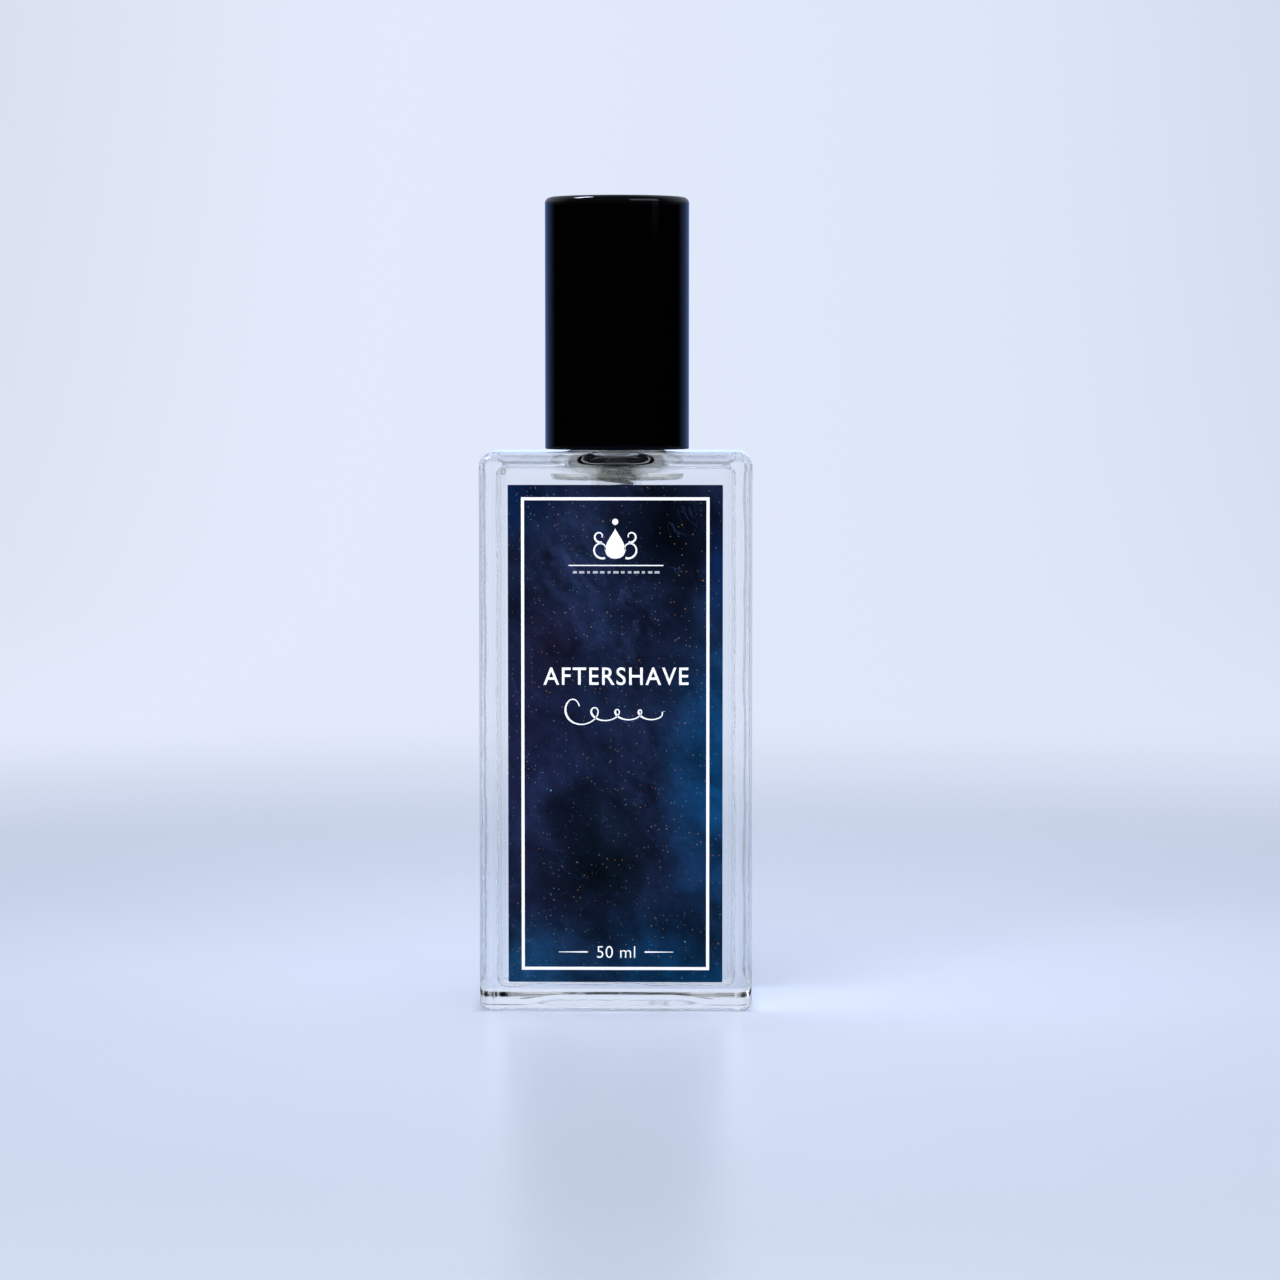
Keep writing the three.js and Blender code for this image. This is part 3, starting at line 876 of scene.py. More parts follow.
@dataclass
class Fragrance:
    """The liquid: it fills the cavity, apart from a flat bubble under the neck."""

    glass: GlassBottle
    depth: float = 2.1
    inset: float = 0.01
    stray: float = 0.45

    def bubble_rings(self) -> list[Array]:
        """Returns the bubble's skin, from its pole up and out to the rim on the roof."""
        glass = self.glass
        roof, radius = glass.cavity_top - self.inset, glass.bubble
        outline = [(0, roof - self.depth), (radius + 0.25, roof - self.depth), (radius, roof)]
        profile = soften([*outline, (0, roof)], 1.1, steps=9)
        profile = profile[1 : len(profile) - 11]
        spread = np.linspace(0.15, 0.85, 6)[:, None] * [profile[0, 0], 0]
        spread = spread + [0, profile[0, 1]]
        rings = []
        for r, z in np.vstack([spread, profile]):
            plan = glass.plan.circle(r, glass.oval)
            swell = 1 + 0.012 * np.sin(3 * np.arctan2(plan[:, 1], plan[:, 0]) + 0.6)
            rings.append(at_height(plan * swell[:, None], z))
        return rings

    def build(self) -> None:
        """Builds and dresses the liquid, with one small stray bubble in a corner."""
        wall = self.glass.cavity_rings(self.inset)
        bubble = self.bubble_rings()
        rings = np.array([*bubble[::-1], *wall])[::-1]
        floor = float(wall[-1][:, 2].mean())
        top = float(bubble[0][0, 2])
        piece = skin("fragrance", rings, (0, 0, floor), (0, 0, top), sharp=180)
        wall_finish = ClearFinish("fragrance_at_glass", (0.99, 0.985, 0.95), 1.0, alpha=0.1)
        free_finish = ClearFinish("fragrance_at_air", (0.975, 0.965, 0.86), 1.36, alpha=0.7)
        columns, count = rings.shape[1], len(wall)
        slots = np.ones(len(piece.data.polygons), np.int32)
        slots[: (count - 1) * columns] = 0
        slots[(len(rings) - 1) * columns : len(rings) * columns] = 0
        for finish in (wall_finish.make(), free_finish.make()):
            piece.data.materials.append(finish)
        piece.data.polygons.foreach_set("material_index", slots)
        angle = np.linspace(0, np.pi, 18)[1:-1]
        ball = circles(self.stray * np.stack([np.sin(angle), np.cos(angle)], axis=-1), 24)
        glass = self.glass
        ball += [1.1 - glass.inner_x, 1.6 - glass.inner_y, glass.cavity_top - 0.75]
        centre = ball.mean(axis=(0, 1))
        poles = centre + [0, 0, self.stray], centre - [0, 0, self.stray]
        stray = skin("stray_bubble", ball, *poles, sharp=180)
        at_air = np.ones(len(stray.data.polygons), np.int32)
        stray.data.polygons.foreach_set("material_index", at_air)
        join_shells(piece, stray)
        Place("bottle", "fragrance", ("fragrance_liquid",)).settle(piece)


def ribbon(
    name: str, path: Array, half_width: Array | float, front: float, thick: float
) -> bpy.types.Object:
    """Makes a flat printed line on a plane that faces -Y.

    Each point of the path gets a section of four corners: half_width to each side of
    the path, at the front and at the back.

    Args:
        name: the object's name.
        path: points as (x, z), in millimetres.
        half_width: half the line's width, one number or one for each point.
        front: the Y of its front face.
        thick: how thick it is.

    Returns:
        The object.
    """
    along = np.gradient(path, axis=0)
    along /= np.maximum(np.linalg.norm(along, axis=1, keepdims=True), 1e-9)
    aside = np.stack([-along[:, 1], along[:, 0]], axis=-1)
    width = np.broadcast_to(half_width, (len(path),))[:, None]
    left, right = path + aside * width, path - aside * width
    back = front + thick
    corners = [(left, front), (right, front), (right, back), (left, back)]
    section = [np.stack([p[:, 0], np.full(len(p), y), p[:, 1]], axis=-1) for p, y in corners]
    rings = np.stack(section, axis=1)
    middle = front + thick / 2
    poles = [(path[i, 0], middle, path[i, 1]) for i in (0, -1)]
    return skin(name, rings, *poles, sharp=30)


@dataclass
class FrontLabel:
    """The label: a thin film printed with a night sky, and white print on it.

    line is the frame's width, and the heights are those of the middle of each print.
    """

    film: float = 0.1
    ink: float = 0.02
    weld: float = 0.0005
    line: float = 0.44
    margin_side: float = 1.95
    margin_end: float = 1.8
    emblem_height: float = 69.3
    rule_height: float = 65.55
    dash_height: float = 64.55
    title_height: float = 49.35
    flourish_height: float = 44.2
    volume_height: float = 8.75
    box: NodeBox = field(default_factory=lambda: NodeBox.of("front_label"))

    def __post_init__(self) -> None:
        """Places the label's faces and makes the ink."""
        self.face = float(self.box.low[1]) + self.ink
        self.print_face = self.face - self.ink
        self.left, self.right = float(self.box.low[0]), float(self.box.high[0])
        self.bottom, self.top = self.box.bottom, self.box.top
        ink = SolidFinish("label_white_ink", (1.0, 1.0, 1.0), 0.5, specular=0.2, mottle=0.01)
        self.white = ink.make()
        grey = SolidFinish("label_grey_ink", (0.72, 0.73, 0.76), 0.5, specular=0.2, mottle=0.02)
        self.grey = grey.make()

    def printed(self, piece: bpy.types.Object, ink: bpy.types.Material | None = None) -> None:
        """Dresses a printed piece and settles it on the bottle."""
        Place("bottle", "label_film").settle(piece, ink or self.white)

    def build_film(self) -> None:
        """Builds the film, as rings from the middle of its back round to its front."""
        middle, middle_z = (self.left + self.right) / 2, (self.bottom + self.top) / 2
        half_x, half_z = (self.right - self.left) / 2, (self.top - self.bottom) / 2
        plan = PlanShape(half_x, half_z, 4, 12, 24)
        back = self.face + self.film
        stations = (
            (0.3, back), (0.97, back), (1.0, back - 0.01), (1.0, self.face + 0.01),
            (0.9985, self.face), (0.5, self.face), (0.1, self.face),
        )
        rings = []
        for scale, y in stations:
            ring = plan.rectangle(half_x * scale, half_z * scale, 0.15 * scale)
            x = ring[:, 0] + middle
            rings.append(np.stack([x, np.full(len(x), y), ring[:, 1] + middle_z], axis=-1))
        poles = (middle, back, middle_z), (middle, self.face, middle_z)
        piece = skin("label_film", np.array(rings), *poles, sharp=30)
        sky = NightSkyFinish(self.left, self.bottom, 2 * half_x, 2 * half_z)
        paper = SolidFinish("label_back", (0.8, 0.83, 0.9), 0.6, specular=0.2)
        Place("bottle", "label_film", ("front_label",)).settle(piece, sky.make(), paper.make())
        columns = rings[0].shape[0]
        slots = np.zeros(len(piece.data.polygons), np.int32)
        slots[: 2 * columns] = 1
        slots[(len(rings) - 1) * columns : len(rings) * columns] = 1
        piece.data.polygons.foreach_set("material_index", slots)

    def build_border(self) -> None:
        """Builds the white frame: four corners carried outside, front, inside, back."""
        x0, x1 = self.left + self.margin_side, self.right - self.margin_side
        z0, z1 = self.bottom + self.margin_end, self.top - self.margin_end

        def loop(inset: float, y: float) -> Array:
            """Returns the four corners of the frame at an inset and a depth."""
            a, b, c, d = x0 + inset, x1 - inset, z0 + inset, z1 - inset
            return np.array([(a, y, c), (b, y, c), (b, y, d), (a, y, d)])

        front, back = self.print_face, self.face
        rings = np.array(
            [loop(0, back), loop(0, front), loop(self.line, front), loop(self.line, back)]
        )
        self.printed(skin("label_border", rings, closed=True, sharp=30))

    def lettering(
        self, name: str, words: str, width: float, height: float, centre: tuple[float, float],
        thin: float = 0.0, spacing: float = 1.0,
    ) -> None:
        """Builds a line of plain lettering, scaled to fill a given width and height.

        Args:
            name: the piece's name.
            words: the letters.
            width: the whole width.
            height: the height of the letters.
            centre: the middle, as (x, z).
            thin: how much slimmer the strokes are, as a share of the letters' size; a
                negative number makes them bolder.
            spacing: the space between letters, 1 for the font's own.
        """
        curve = bpy.data.curves.new(name, "FONT")
        curve.body, curve.space_character, curve.offset = words, spacing, -thin
        curve.extrude, curve.resolution_u = 0.5, 6
        words_object = bpy.data.objects.new(name + "_curve", curve)
        bpy.context.scene.collection.objects.link(words_object)
        bpy.context.view_layer.update()
        graph = bpy.context.evaluated_depsgraph_get()
        mesh = bpy.data.meshes.new_from_object(words_object.evaluated_get(graph))
        bpy.data.objects.remove(words_object)
        bpy.data.curves.remove(curve)
        points = np.empty(len(mesh.vertices) * 3)
        mesh.vertices.foreach_get("co", points)
        points = points.reshape(-1, 3)
        low, high = points.min(axis=0), points.max(axis=0)
        unit = (points - low) / (high - low) - 0.5
        x = centre[0] + unit[:, 0] * width
        z = centre[1] + unit[:, 1] * height
        y = self.print_face + self.ink * (0.5 - unit[:, 2])
        placed = np.stack([x, y, z], axis=-1) * MM
        mesh.vertices.foreach_set("co", placed.ravel())
        mesh.name = name
        merged = bmesh.new()
        merged.from_mesh(mesh)
        bmesh.ops.remove_doubles(merged, verts=merged.verts, dist=self.weld * MM)
        merged.to_mesh(mesh)
        merged.free()
        piece = bpy.data.objects.new(name, mesh)
        bpy.context.scene.collection.objects.link(piece)
        self.printed(piece)

    def stroke(self, name: str, path: Array, width: Array | float, ink: bool = True) -> None:
        """Builds one printed line along (x, z) points; ink False prints it in grey."""
        piece = ribbon(name, path, np.asarray(width) / 2, self.print_face, self.ink)
        self.printed(piece, None if ink else self.grey)

    def build_emblem(self, x: float, z: float, size: float) -> None:
        """Builds a plain emblem: a drop between two pairs of curls, and a bead above it.

        The drop is x = w sin t sin(t / 2)^1.5, z = h cos t. A curl is a spiral whose
        radius shrinks evenly while it turns nearly once.

        Args:
            x: the middle.
            z: the middle.
            size: the emblem's whole height.
        """
        t = np.linspace(0, 2 * np.pi, 81)[:-1]
        drop = np.stack([np.sin(t) * np.sin(t / 2) ** 1.5 * 0.3, 0.32 * np.cos(t)], axis=-1)
        bead = np.stack([0.065 * np.sin(t), 0.065 * np.cos(t)], axis=-1)
        for name, shape, lift in (("drop", drop, -0.08), ("bead", bead, 0.38)):
            edge = shape * size + [x, z + lift * size]
            front = np.stack([edge[:, 0], np.full(80, self.print_face), edge[:, 1]], axis=-1)
            front = front[::-1]
            rings = np.array([front + [0, self.ink, 0], front])
            middle = z + (lift - 0.08 * (name == "drop")) * size
            poles = [(x, y, middle) for y in (self.face, self.print_face)]
            self.printed(skin(f"emblem_{name}", rings, *poles, sharp=30))
        s = np.linspace(0, 1, 60)
        for number, side in enumerate((-1, 1)):
            for place, (reach, low, scale) in enumerate(((0.29, -0.2, 0.2), (0.33, 0.07, 0.13))):
                radius = scale * size * (1 - 0.62 * s)
                turn = -0.62 * np.pi + 1.75 * np.pi * s
                curl = np.stack([side * radius * np.cos(turn), radius * np.sin(turn)], axis=-1)
                curl += [x + side * reach * size, z + low * size]
                self.stroke(f"emblem_curl_{number}_{place}", curl, np.linspace(0.3, 0.14, 60))

    def build_flourish(self, x: float, z: float, width: float) -> None:
        """Builds a wordless pen flourish: one line of loops that grow smaller.

        With p = 8.5 pi t - 1.1, the path is x = w (t - 1/2) - b sin p, z = a cos p. Both
        a and b shrink exponentially as t goes from 0 to 1, and smoothly to nothing over
        its last tenth, which makes a straight tail. The pen is widest where sin p is 1.

        Args:
            x: the middle.
            z: the middle.
            width: the whole width.
        """
        t = np.linspace(0.0, 1.0, 420)
        tall = 0.7 + 2.0 * np.exp(-6.5 * t)
        wide = 0.85 + 1.1 * np.exp(-4.0 * t)
        phase = 8.5 * np.pi * t - 1.1
        left = np.clip((1 - t) / 0.1, 0.0, 1)
        ease = left**2 * (3 - 2 * left)
        path = np.stack(
            [
                x + width * (t - 0.5) - wide * ease * np.sin(phase),
                z - 0.5 + tall * ease * np.cos(phase) + 0.5 * (1 - left) ** 2,
            ],
            axis=-1,
        )
        pen = 0.17 + 0.13 * np.clip(np.sin(phase), 0, 1) ** 2
        self.stroke("flourish", path, pen * np.clip((1 - t) / 0.06, 0.35, 1))

    def build(self) -> None:
        """Builds the film and all its print."""
        self.build_film()
        self.build_border()
        middle = (self.left + self.right) / 2 + 0.1
        self.build_emblem(middle - 0.1, self.emblem_height, 6.9)
        across = np.linspace(-6.9, 6.9, 40) + middle
        rule = np.stack([across, np.full(40, self.rule_height)], axis=-1)
        self.stroke("emblem_rule", rule, 0.16)
        for number, offset in enumerate(np.arange(-6, 7)):
            reach = 0.3 + 0.1 * math.sin(2.3 * number)
            across = middle + offset + np.linspace(-reach, reach, 4)
            dash = np.stack([across, np.full(4, self.dash_height)], axis=-1)
            self.stroke(f"emblem_dash_{number}", dash, 0.34, ink=False)
        title, volume = (middle, self.title_height), (middle, self.volume_height)
        self.lettering("title", "AFTERSHAVE", 21.2, 2.6, title, thin=-0.006, spacing=1.12)
        self.build_flourish(middle, self.flourish_height, 14.2)
        self.lettering("volume", "50 ml", 5.6, 1.75, volume, thin=0.008, spacing=1.05)
        for number, side in enumerate((-1, 1)):
            way = side * np.linspace(4.2, 8.4, 30)
            rule = np.stack([middle + way, np.full(30, self.volume_height)], axis=-1)
            self.stroke(f"volume_rule_{number}", rule, np.linspace(0.22, 0.08, 30))


@dataclass
class Pump:
    """The crimped pump: ferrule, seals, housing, stem, piston, springs and dip tube."""

    plate: float = 94.65
    wall: float = 0.4
    crimp_lip: float = 6.85
    boss: float = 5.05
    gasket_bore: float = 4.4
    seal_bore: float = 1.66
    guide: float = 1.75
    stem: float = 1.6
    stem_bore: float = 0.7
    flange: tuple[float, float, float] = (2.6, 88.9, 90.1)
    piston_bore: float = 1.67
    main_coil: tuple[float, float, int] = (2.3, 0.5, 7)
    valve_coil: tuple[float, float, int] = (2.15, 0.3, 3)
    tube_radii: tuple[float, float] = (1.4, 0.9)

    def build_fixed(self) -> None:
        """Builds what the crimp holds still."""
        white = SolidFinish("pump_white", (0.93, 0.93, 0.91), 0.42, grain=4.0, depth=0.004).make()
        metal = SolidFinish(
            "ferrule_aluminium", (0.8, 0.81, 0.83), 0.26, metal=1.0, grain=2.2, depth=0.002,
            brushed=True,
        ).make()
        rubber = SolidFinish("seal_rubber", (0.16, 0.16, 0.17), 0.8, depth=0.01).make()
        for name, node, inner in (
            ("neck_seal", "neck_gasket", self.gasket_bore),
            ("stem_seal", "stem_gasket", self.seal_bore),
        ):
            box = NodeBox.of(node)
            outer, low, top = box.radius, box.bottom, box.top
            outline = [(inner, low), (outer, low), (outer, top), (inner, top)]
            Place("bottle", "seal_rubber", (node,)).settle(turned(name, outline, 0.1), rubber)
        box, plate, wall = NodeBox.of("crimp_ferrule"), self.plate, self.wall
        outer, low, step, lip = box.radius, box.bottom, self.boss, self.crimp_lip
        inner = outer - wall
        outline = [
            (lip, low), (outer - 0.6, low), (outer, low + 0.7), (outer, plate),
            (step + 0.6, plate), (step + 0.3, box.top), (3.9, box.top), (3.9, box.top - wall),
            (step, box.top - wall), (step + 0.3, plate - wall), (inner, plate - wall),
            (inner, low + 0.95), (inner - 0.4, low + 0.45), (lip, low + 0.45),
        ]
        Place("bottle", "silver_ferrule", ("crimp_ferrule",)).settle(
            turned("crimp", outline, 0.22), metal
        )
        outline = [
            (1.47, 66.5), (2.5, 66.5), (2.5, 72.6), (3.7, 74.0), (3.7, 78.5), (4.2, 79.5),
            (4.2, 93.4), (7.2, 93.4), (7.2, 94.1), (3.3, 94.1), (3.3, 79.4), (2.95, 79.0),
            (2.95, 75.0), (1.25, 75.0), (1.25, 73.9), (0.6, 73.1), (0.6, 71.5), (1.47, 71.5),
        ]
        housing = turned("housing", outline, 0.08, Sides.MEDIUM)
        natural = SolidFinish(
            "housing_natural", (0.95, 0.96, 0.99), 0.4, grain=4.0, depth=0.004, alpha=0.1
        ).make()
        Place("bottle", "pump_plastic", ("pump_housing",)).settle(housing, natural)
        box = NodeBox.of("turret")
        outline = [
            (self.guide, box.bottom), (3.2, box.bottom), (3.2, 94.15), (4.7, 94.15),
            (4.7, 94.75), (3.7, 94.75), (3.7, box.top), (self.guide, box.top),
        ]
        turret = turned("pump_turret", outline, 0.25, Sides.MEDIUM)
        Place("bottle", "pump_plastic", ("turret",)).settle(turret, white)

    def build_stem(self) -> None:
        """Builds the stem and the piston on it."""
        white = SolidFinish("stem_white", (0.95, 0.95, 0.93), 0.34, grain=4.0, depth=0.003).make()
        box = NodeBox.of("stem")
        outer, inner, low, top = self.stem, self.stem_bore, box.bottom, box.top
        flange, under, over = self.flange
        outline = [
            (0, low), (2.1, low), (2.1, low + 0.6), (outer, low + 0.9), (outer, under),
            (flange, under), (flange, over), (outer, over), (outer, top), (inner, top),
            (inner, low + 1.5), (0, low + 1.5),
        ]
        Place("plunger", "pump_plastic", ("stem",)).settle(
            turned("pump_stem", outline, 0.1, Sides.MEDIUM), white
        )
        box = NodeBox.of("piston")
        low, top, outer, inner = box.bottom, box.top, box.radius, self.piston_bore
        outline = [
            (inner, low), (inner + 0.5, low), (outer - 0.5, low + 0.6), (outer - 0.15, low),
            (outer, low), (outer, low + 0.5), (outer - 0.3, low + 0.9), (outer - 0.3, top - 0.9),
            (outer, top - 0.5), (outer, top), (outer - 0.15, top), (outer - 0.5, top - 0.7),
            (inner, top - 0.7),
        ]
        Place("piston", "pump_plastic", ("piston",)).settle(
            turned("pump_piston", outline, 0.06, Sides.MEDIUM), white
        )

    def coil(
        self, name: str, mean: float, wire: float, turns: int, low: float, high: float
    ) -> bpy.types.Object:
        """Makes a spring with its end turns nearly flat.

        The wire's angle grows evenly. Its height grows by 1.15 wires in each end turn,
        and evenly over the turns between them.

        Args:
            name: the piece's name.
            mean: the radius of the wire's centre line.
            wire: the wire's thickness.
            turns: how many times it winds round.
            low: the spring's bottom.
            high: the spring's top.

        Returns:
            The object.
        """
        turn = np.linspace(0, turns, turns * 40 + 1)
        flat, start, stop = 1.15 * wire, low + wire / 2, high - wire / 2
        height = np.interp(
            turn, [0, 1, turns - 1, turns], [start, start + flat, stop - flat, stop]
        )
        angle = 2 * np.pi * turn
        path = np.stack([mean * np.cos(angle), mean * np.sin(angle), height], axis=-1)
        rings = tube_rings(path, wire / 2, 12, helix=True)
        return skin(name, rings, path[0], path[-1], sharp=60)

    def build_springs(self) -> None:
        """Builds both springs and the inlet ball."""
        steel = SolidFinish(
            "spring_wire", (0.74, 0.75, 0.77), 0.24, metal=1.0, grain=3.0, depth=0.002
        ).make()
        low, high = NodeBox.of("main_spring").bottom, NodeBox.of("main_spring").top
        coil = self.coil("return_spring", *self.main_coil, low, high)
        Place("bottle", "spring_steel", ("main_spring",)).settle(coil, steel)
        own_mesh(coil)
        low, high = NodeBox.of("piston_spring").bottom, NodeBox.of("piston_spring").top
        coil = self.coil("valve_spring", *self.valve_coil, low, high)
        Place("plunger", "spring_steel", ("piston_spring",)).settle(coil, steel)
        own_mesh(coil)
        box = NodeBox.of("inlet_ball")
        angle = np.linspace(-np.pi / 2, np.pi / 2, 22)[1:-1]
        radius = (box.top - box.bottom) / 2
        middle = (box.top + box.bottom) / 2
        profile = np.stack([radius * np.cos(angle), middle + radius * np.sin(angle)], axis=-1)
        ball = skin("valve_ball", circles(profile, 40), (0, 0, box.bottom), (0, 0, box.top))
        Place("inlet_valve", "spring_steel", ("inlet_ball",)).settle(ball, steel)

    def build_tube(self) -> None:
        """Builds the dip tube along its gentle bend, a cubic curve of four points."""
        clear = ClearFinish("tube_clear", (0.97, 0.975, 0.975), 1.1, roughness=0.06).make()
        ends = np.array([(6.5, 3.2, 4.6), (2, 1, 20), (0, 0, 40), (0, 0, 71.3)])
        t = np.linspace(0, 1, 70)[:, None]
        weights = [(1 - t) ** 3, 3 * t * (1 - t) ** 2, 3 * t**2 * (1 - t), t**3]
        path = sum(weight * point for weight, point in zip(weights, ends, strict=True))
        outer, inner = (tube_rings(path, radius, 40) for radius in self.tube_radii)
        tube = skin("dip_pipe", np.concatenate([outer, inner[::-1]]), closed=True)
        Place("bottle", "clear_tube", ("dip_tube",)).settle(tube, clear)

    def build(self) -> None:
        """Builds the whole pump."""
        self.build_fixed()
        self.build_stem()
        self.build_springs()
        self.build_tube()


@dataclass
class SprayButton:
    """The button, with its nozzle set in its side.

    bore is where the stem fits, and skirt is the inside of the button's wall.
    """

    nozzle_height: float = 107.4
    bore: float = 1.65
    boss: float = 2.6
    skirt: float = 5.4
    pocket: float = 1.95

    def turned_forward(self, outline: Outline, name: str, radius: float) -> bpy.types.Object:
        """Makes a turned piece whose axis points along -Y through the nozzle.

        The point (x, y, z) of the upright piece goes to (x, -z, y + nozzle height).
        """
        profile = soften(outline, radius)
        on_axis = profile[0, 0] == 0
        upright = circles(profile[1:-1] if on_axis else profile, Sides.SMALL.value)
        rings = np.stack(
            [upright[..., 0], -upright[..., 2], upright[..., 1] + self.nozzle_height], axis=-1
        )
        if on_axis:
            poles = [(0, -profile[i, 1], self.nozzle_height) for i in (0, -1)]
            return skin(name, rings, *poles)
        return skin(name, rings, closed=True)

    def build(self) -> None:
        """Builds the button, cuts the nozzle's pocket and sets the insert in it."""
        box = NodeBox.of("actuator_button")
        radius, low, top = box.radius, box.bottom, box.top
        bore, boss, skirt = self.bore, self.boss, self.skirt
        outline = [
            (0, 106.1), (bore, 106.1), (bore, 102.3), (boss, 102.3), (boss, 104.2), (skirt, 104.2),
            (skirt, low), (radius, low), (radius, top), (4.9, top - 0.05), (2.6, top - 0.4),
            (0, top - 0.5),
        ]
        piece = turned("spray_button", outline, 0.55)
        pocket = [(0, 4.2), (self.pocket, 4.2), (self.pocket, 8.0), (0, 8.0)]
        cutter = self.turned_forward(pocket, "pocket_cutter", 0.05)
        cut = piece.modifiers.new("pocket", "BOOLEAN")
        cut.operation, cut.object, cut.solver = "DIFFERENCE", cutter, "EXACT"
        bpy.context.view_layer.update()
        graph = bpy.context.evaluated_depsgraph_get()
        mesh = bpy.data.meshes.new_from_object(piece.evaluated_get(graph))
        piece.modifiers.clear()
        piece.data = mesh
        mesh.shade_smooth()
        mesh.set_sharp_from_angle(angle=math.radians(40))
        bpy.data.objects.remove(cutter)
        black = SolidFinish(
            "button_black", (0.045, 0.045, 0.05), 0.3, coat=0.15, grain=5.0, depth=0.003
        ).make()
        Place("actuator", "black_button", ("actuator_button",)).settle(piece, black)
        outline = [
            (1.1, 4.25), (1.85, 4.25), (1.85, 6.0), (0.9, 6.0), (0.25, 5.5), (0.25, 5.0), (1.1, 5.0)
        ]
        white = SolidFinish("nozzle_white", (0.9, 0.9, 0.89), 0.35, depth=0.003).make()
        Place("actuator", "pump_plastic", ("nozzle_insert",)).settle(
            self.turned_forward(outline, "nozzle", 0.08), white
        )


@dataclass
class CollarAndCap:
    """The shroud round the crimp with its core, and the cap with its liner."""

    hole: float = 6.9
    collar_wall: float = 0.3
    liner_wall: float = 0.4
    cap_wall: float = 0.8
    cap_edge: float = 0.9
    rim_edge: float = 0.18
    grip: float = 9.15

    def build_collar(self) -> None:
        """Builds the collar's metal shell and its plastic core."""
        box = NodeBox.of("collar_shell")
        outer, inner, low, top = box.radius, box.radius - self.collar_wall, box.bottom, box.top
        outline = [
            (inner, low), (outer, low), (outer, top), (self.hole, top), (self.hole, top - 0.35),
            (inner, top - 0.35),
        ]
        metal = SolidFinish(
            "collar_black_metal", (0.05, 0.05, 0.056), 0.24, metal=0.7, grain=1.8, depth=0.002,
            brushed=True,
        ).make()
        shell = turned("collar", outline, 0.35)
        Place("bottle", "black_collar", ("collar_shell",)).settle(shell, metal)
        box = NodeBox.of("collar_core")
        outer, inner, low, top = box.radius, box.radius - self.liner_wall, box.bottom, box.top
        outline = [
            (inner, low), (outer, low), (outer, top), (self.hole + 0.1, top),
            (self.hole + 0.1, top - 0.6), (inner, top - 0.6), (inner, 88.1), (inner - 0.4, 87.7),
            (inner - 0.4, 86.9), (inner, 86.3),
        ]
        plastic = SolidFinish("core_black", (0.06, 0.06, 0.065), 0.5, depth=0.006).make()
        core = turned("collar_ring", outline, 0.12)
        Place("bottle", "black_liner", ("collar_core",)).settle(core, plastic)

    def build_cap(self) -> None:
        """Builds the cap's shell, with its small rounded rim, and the liner in it."""
        box = NodeBox.of("cap_shell")
        outer, inner, low, top = box.radius, box.radius - self.cap_wall, box.bottom, box.top
        roof = top - self.cap_wall

        def bend(size: float, height: float, start: float, stop: float, steps: int) -> Outline:
            """Returns a quarter round of the outer edge, between two angles."""
            angles = np.linspace(start, stop, steps)
            middle = outer - size
            return [(middle + size * math.cos(a), height + size * math.sin(a)) for a in angles]

        rim = bend(self.cap_edge, top - self.cap_edge, 0, np.pi / 2, 12)
        foot = bend(self.rim_edge, low + self.rim_edge, -np.pi / 2, 0, 6)
        inside = [(0, roof), (inner - 0.3, roof), (inner, roof - 0.3), (inner, low)]
        wall = [(outer, float(z)) for z in np.linspace(low + 1, top - 1.6, 12)]
        crown = [(0.7 * outer, top), (0.35 * outer, top), (0, top)]
        profile = np.array([*inside, *foot, *wall, *rim, *crown])
        rings = circles(profile[1:-1], Sides.WIDE.value)
        shell = skin("cap", rings, (0, 0, roof), (0, 0, top))
        even_faces(shell)
        Place("cap", "black_gloss", ("cap_shell",)).settle(shell, CapFinish().make())
        box = NodeBox.of("cap_liner")
        outer, inner, low, top = box.radius, box.radius - self.liner_wall, box.bottom, box.top
        grip = self.grip
        outline = [
            (0, top - 1.1), (inner, top - 1.1), (inner, 90.5), (grip, 89.7), (grip, 88.5),
            (inner, 87.7), (inner, low + 0.5), (inner + 0.2, low), (outer, low), (outer, top),
            (0, top),
        ]
        plastic = SolidFinish("liner_black", (0.07, 0.07, 0.075), 0.55, depth=0.006).make()
        liner = turned("cap_inner", outline, 0.15)
        Place("cap", "black_liner", ("cap_liner",)).settle(liner, plastic)

    def build(self) -> None:
        """Builds the collar and the cap."""
        self.build_collar()
        self.build_cap()


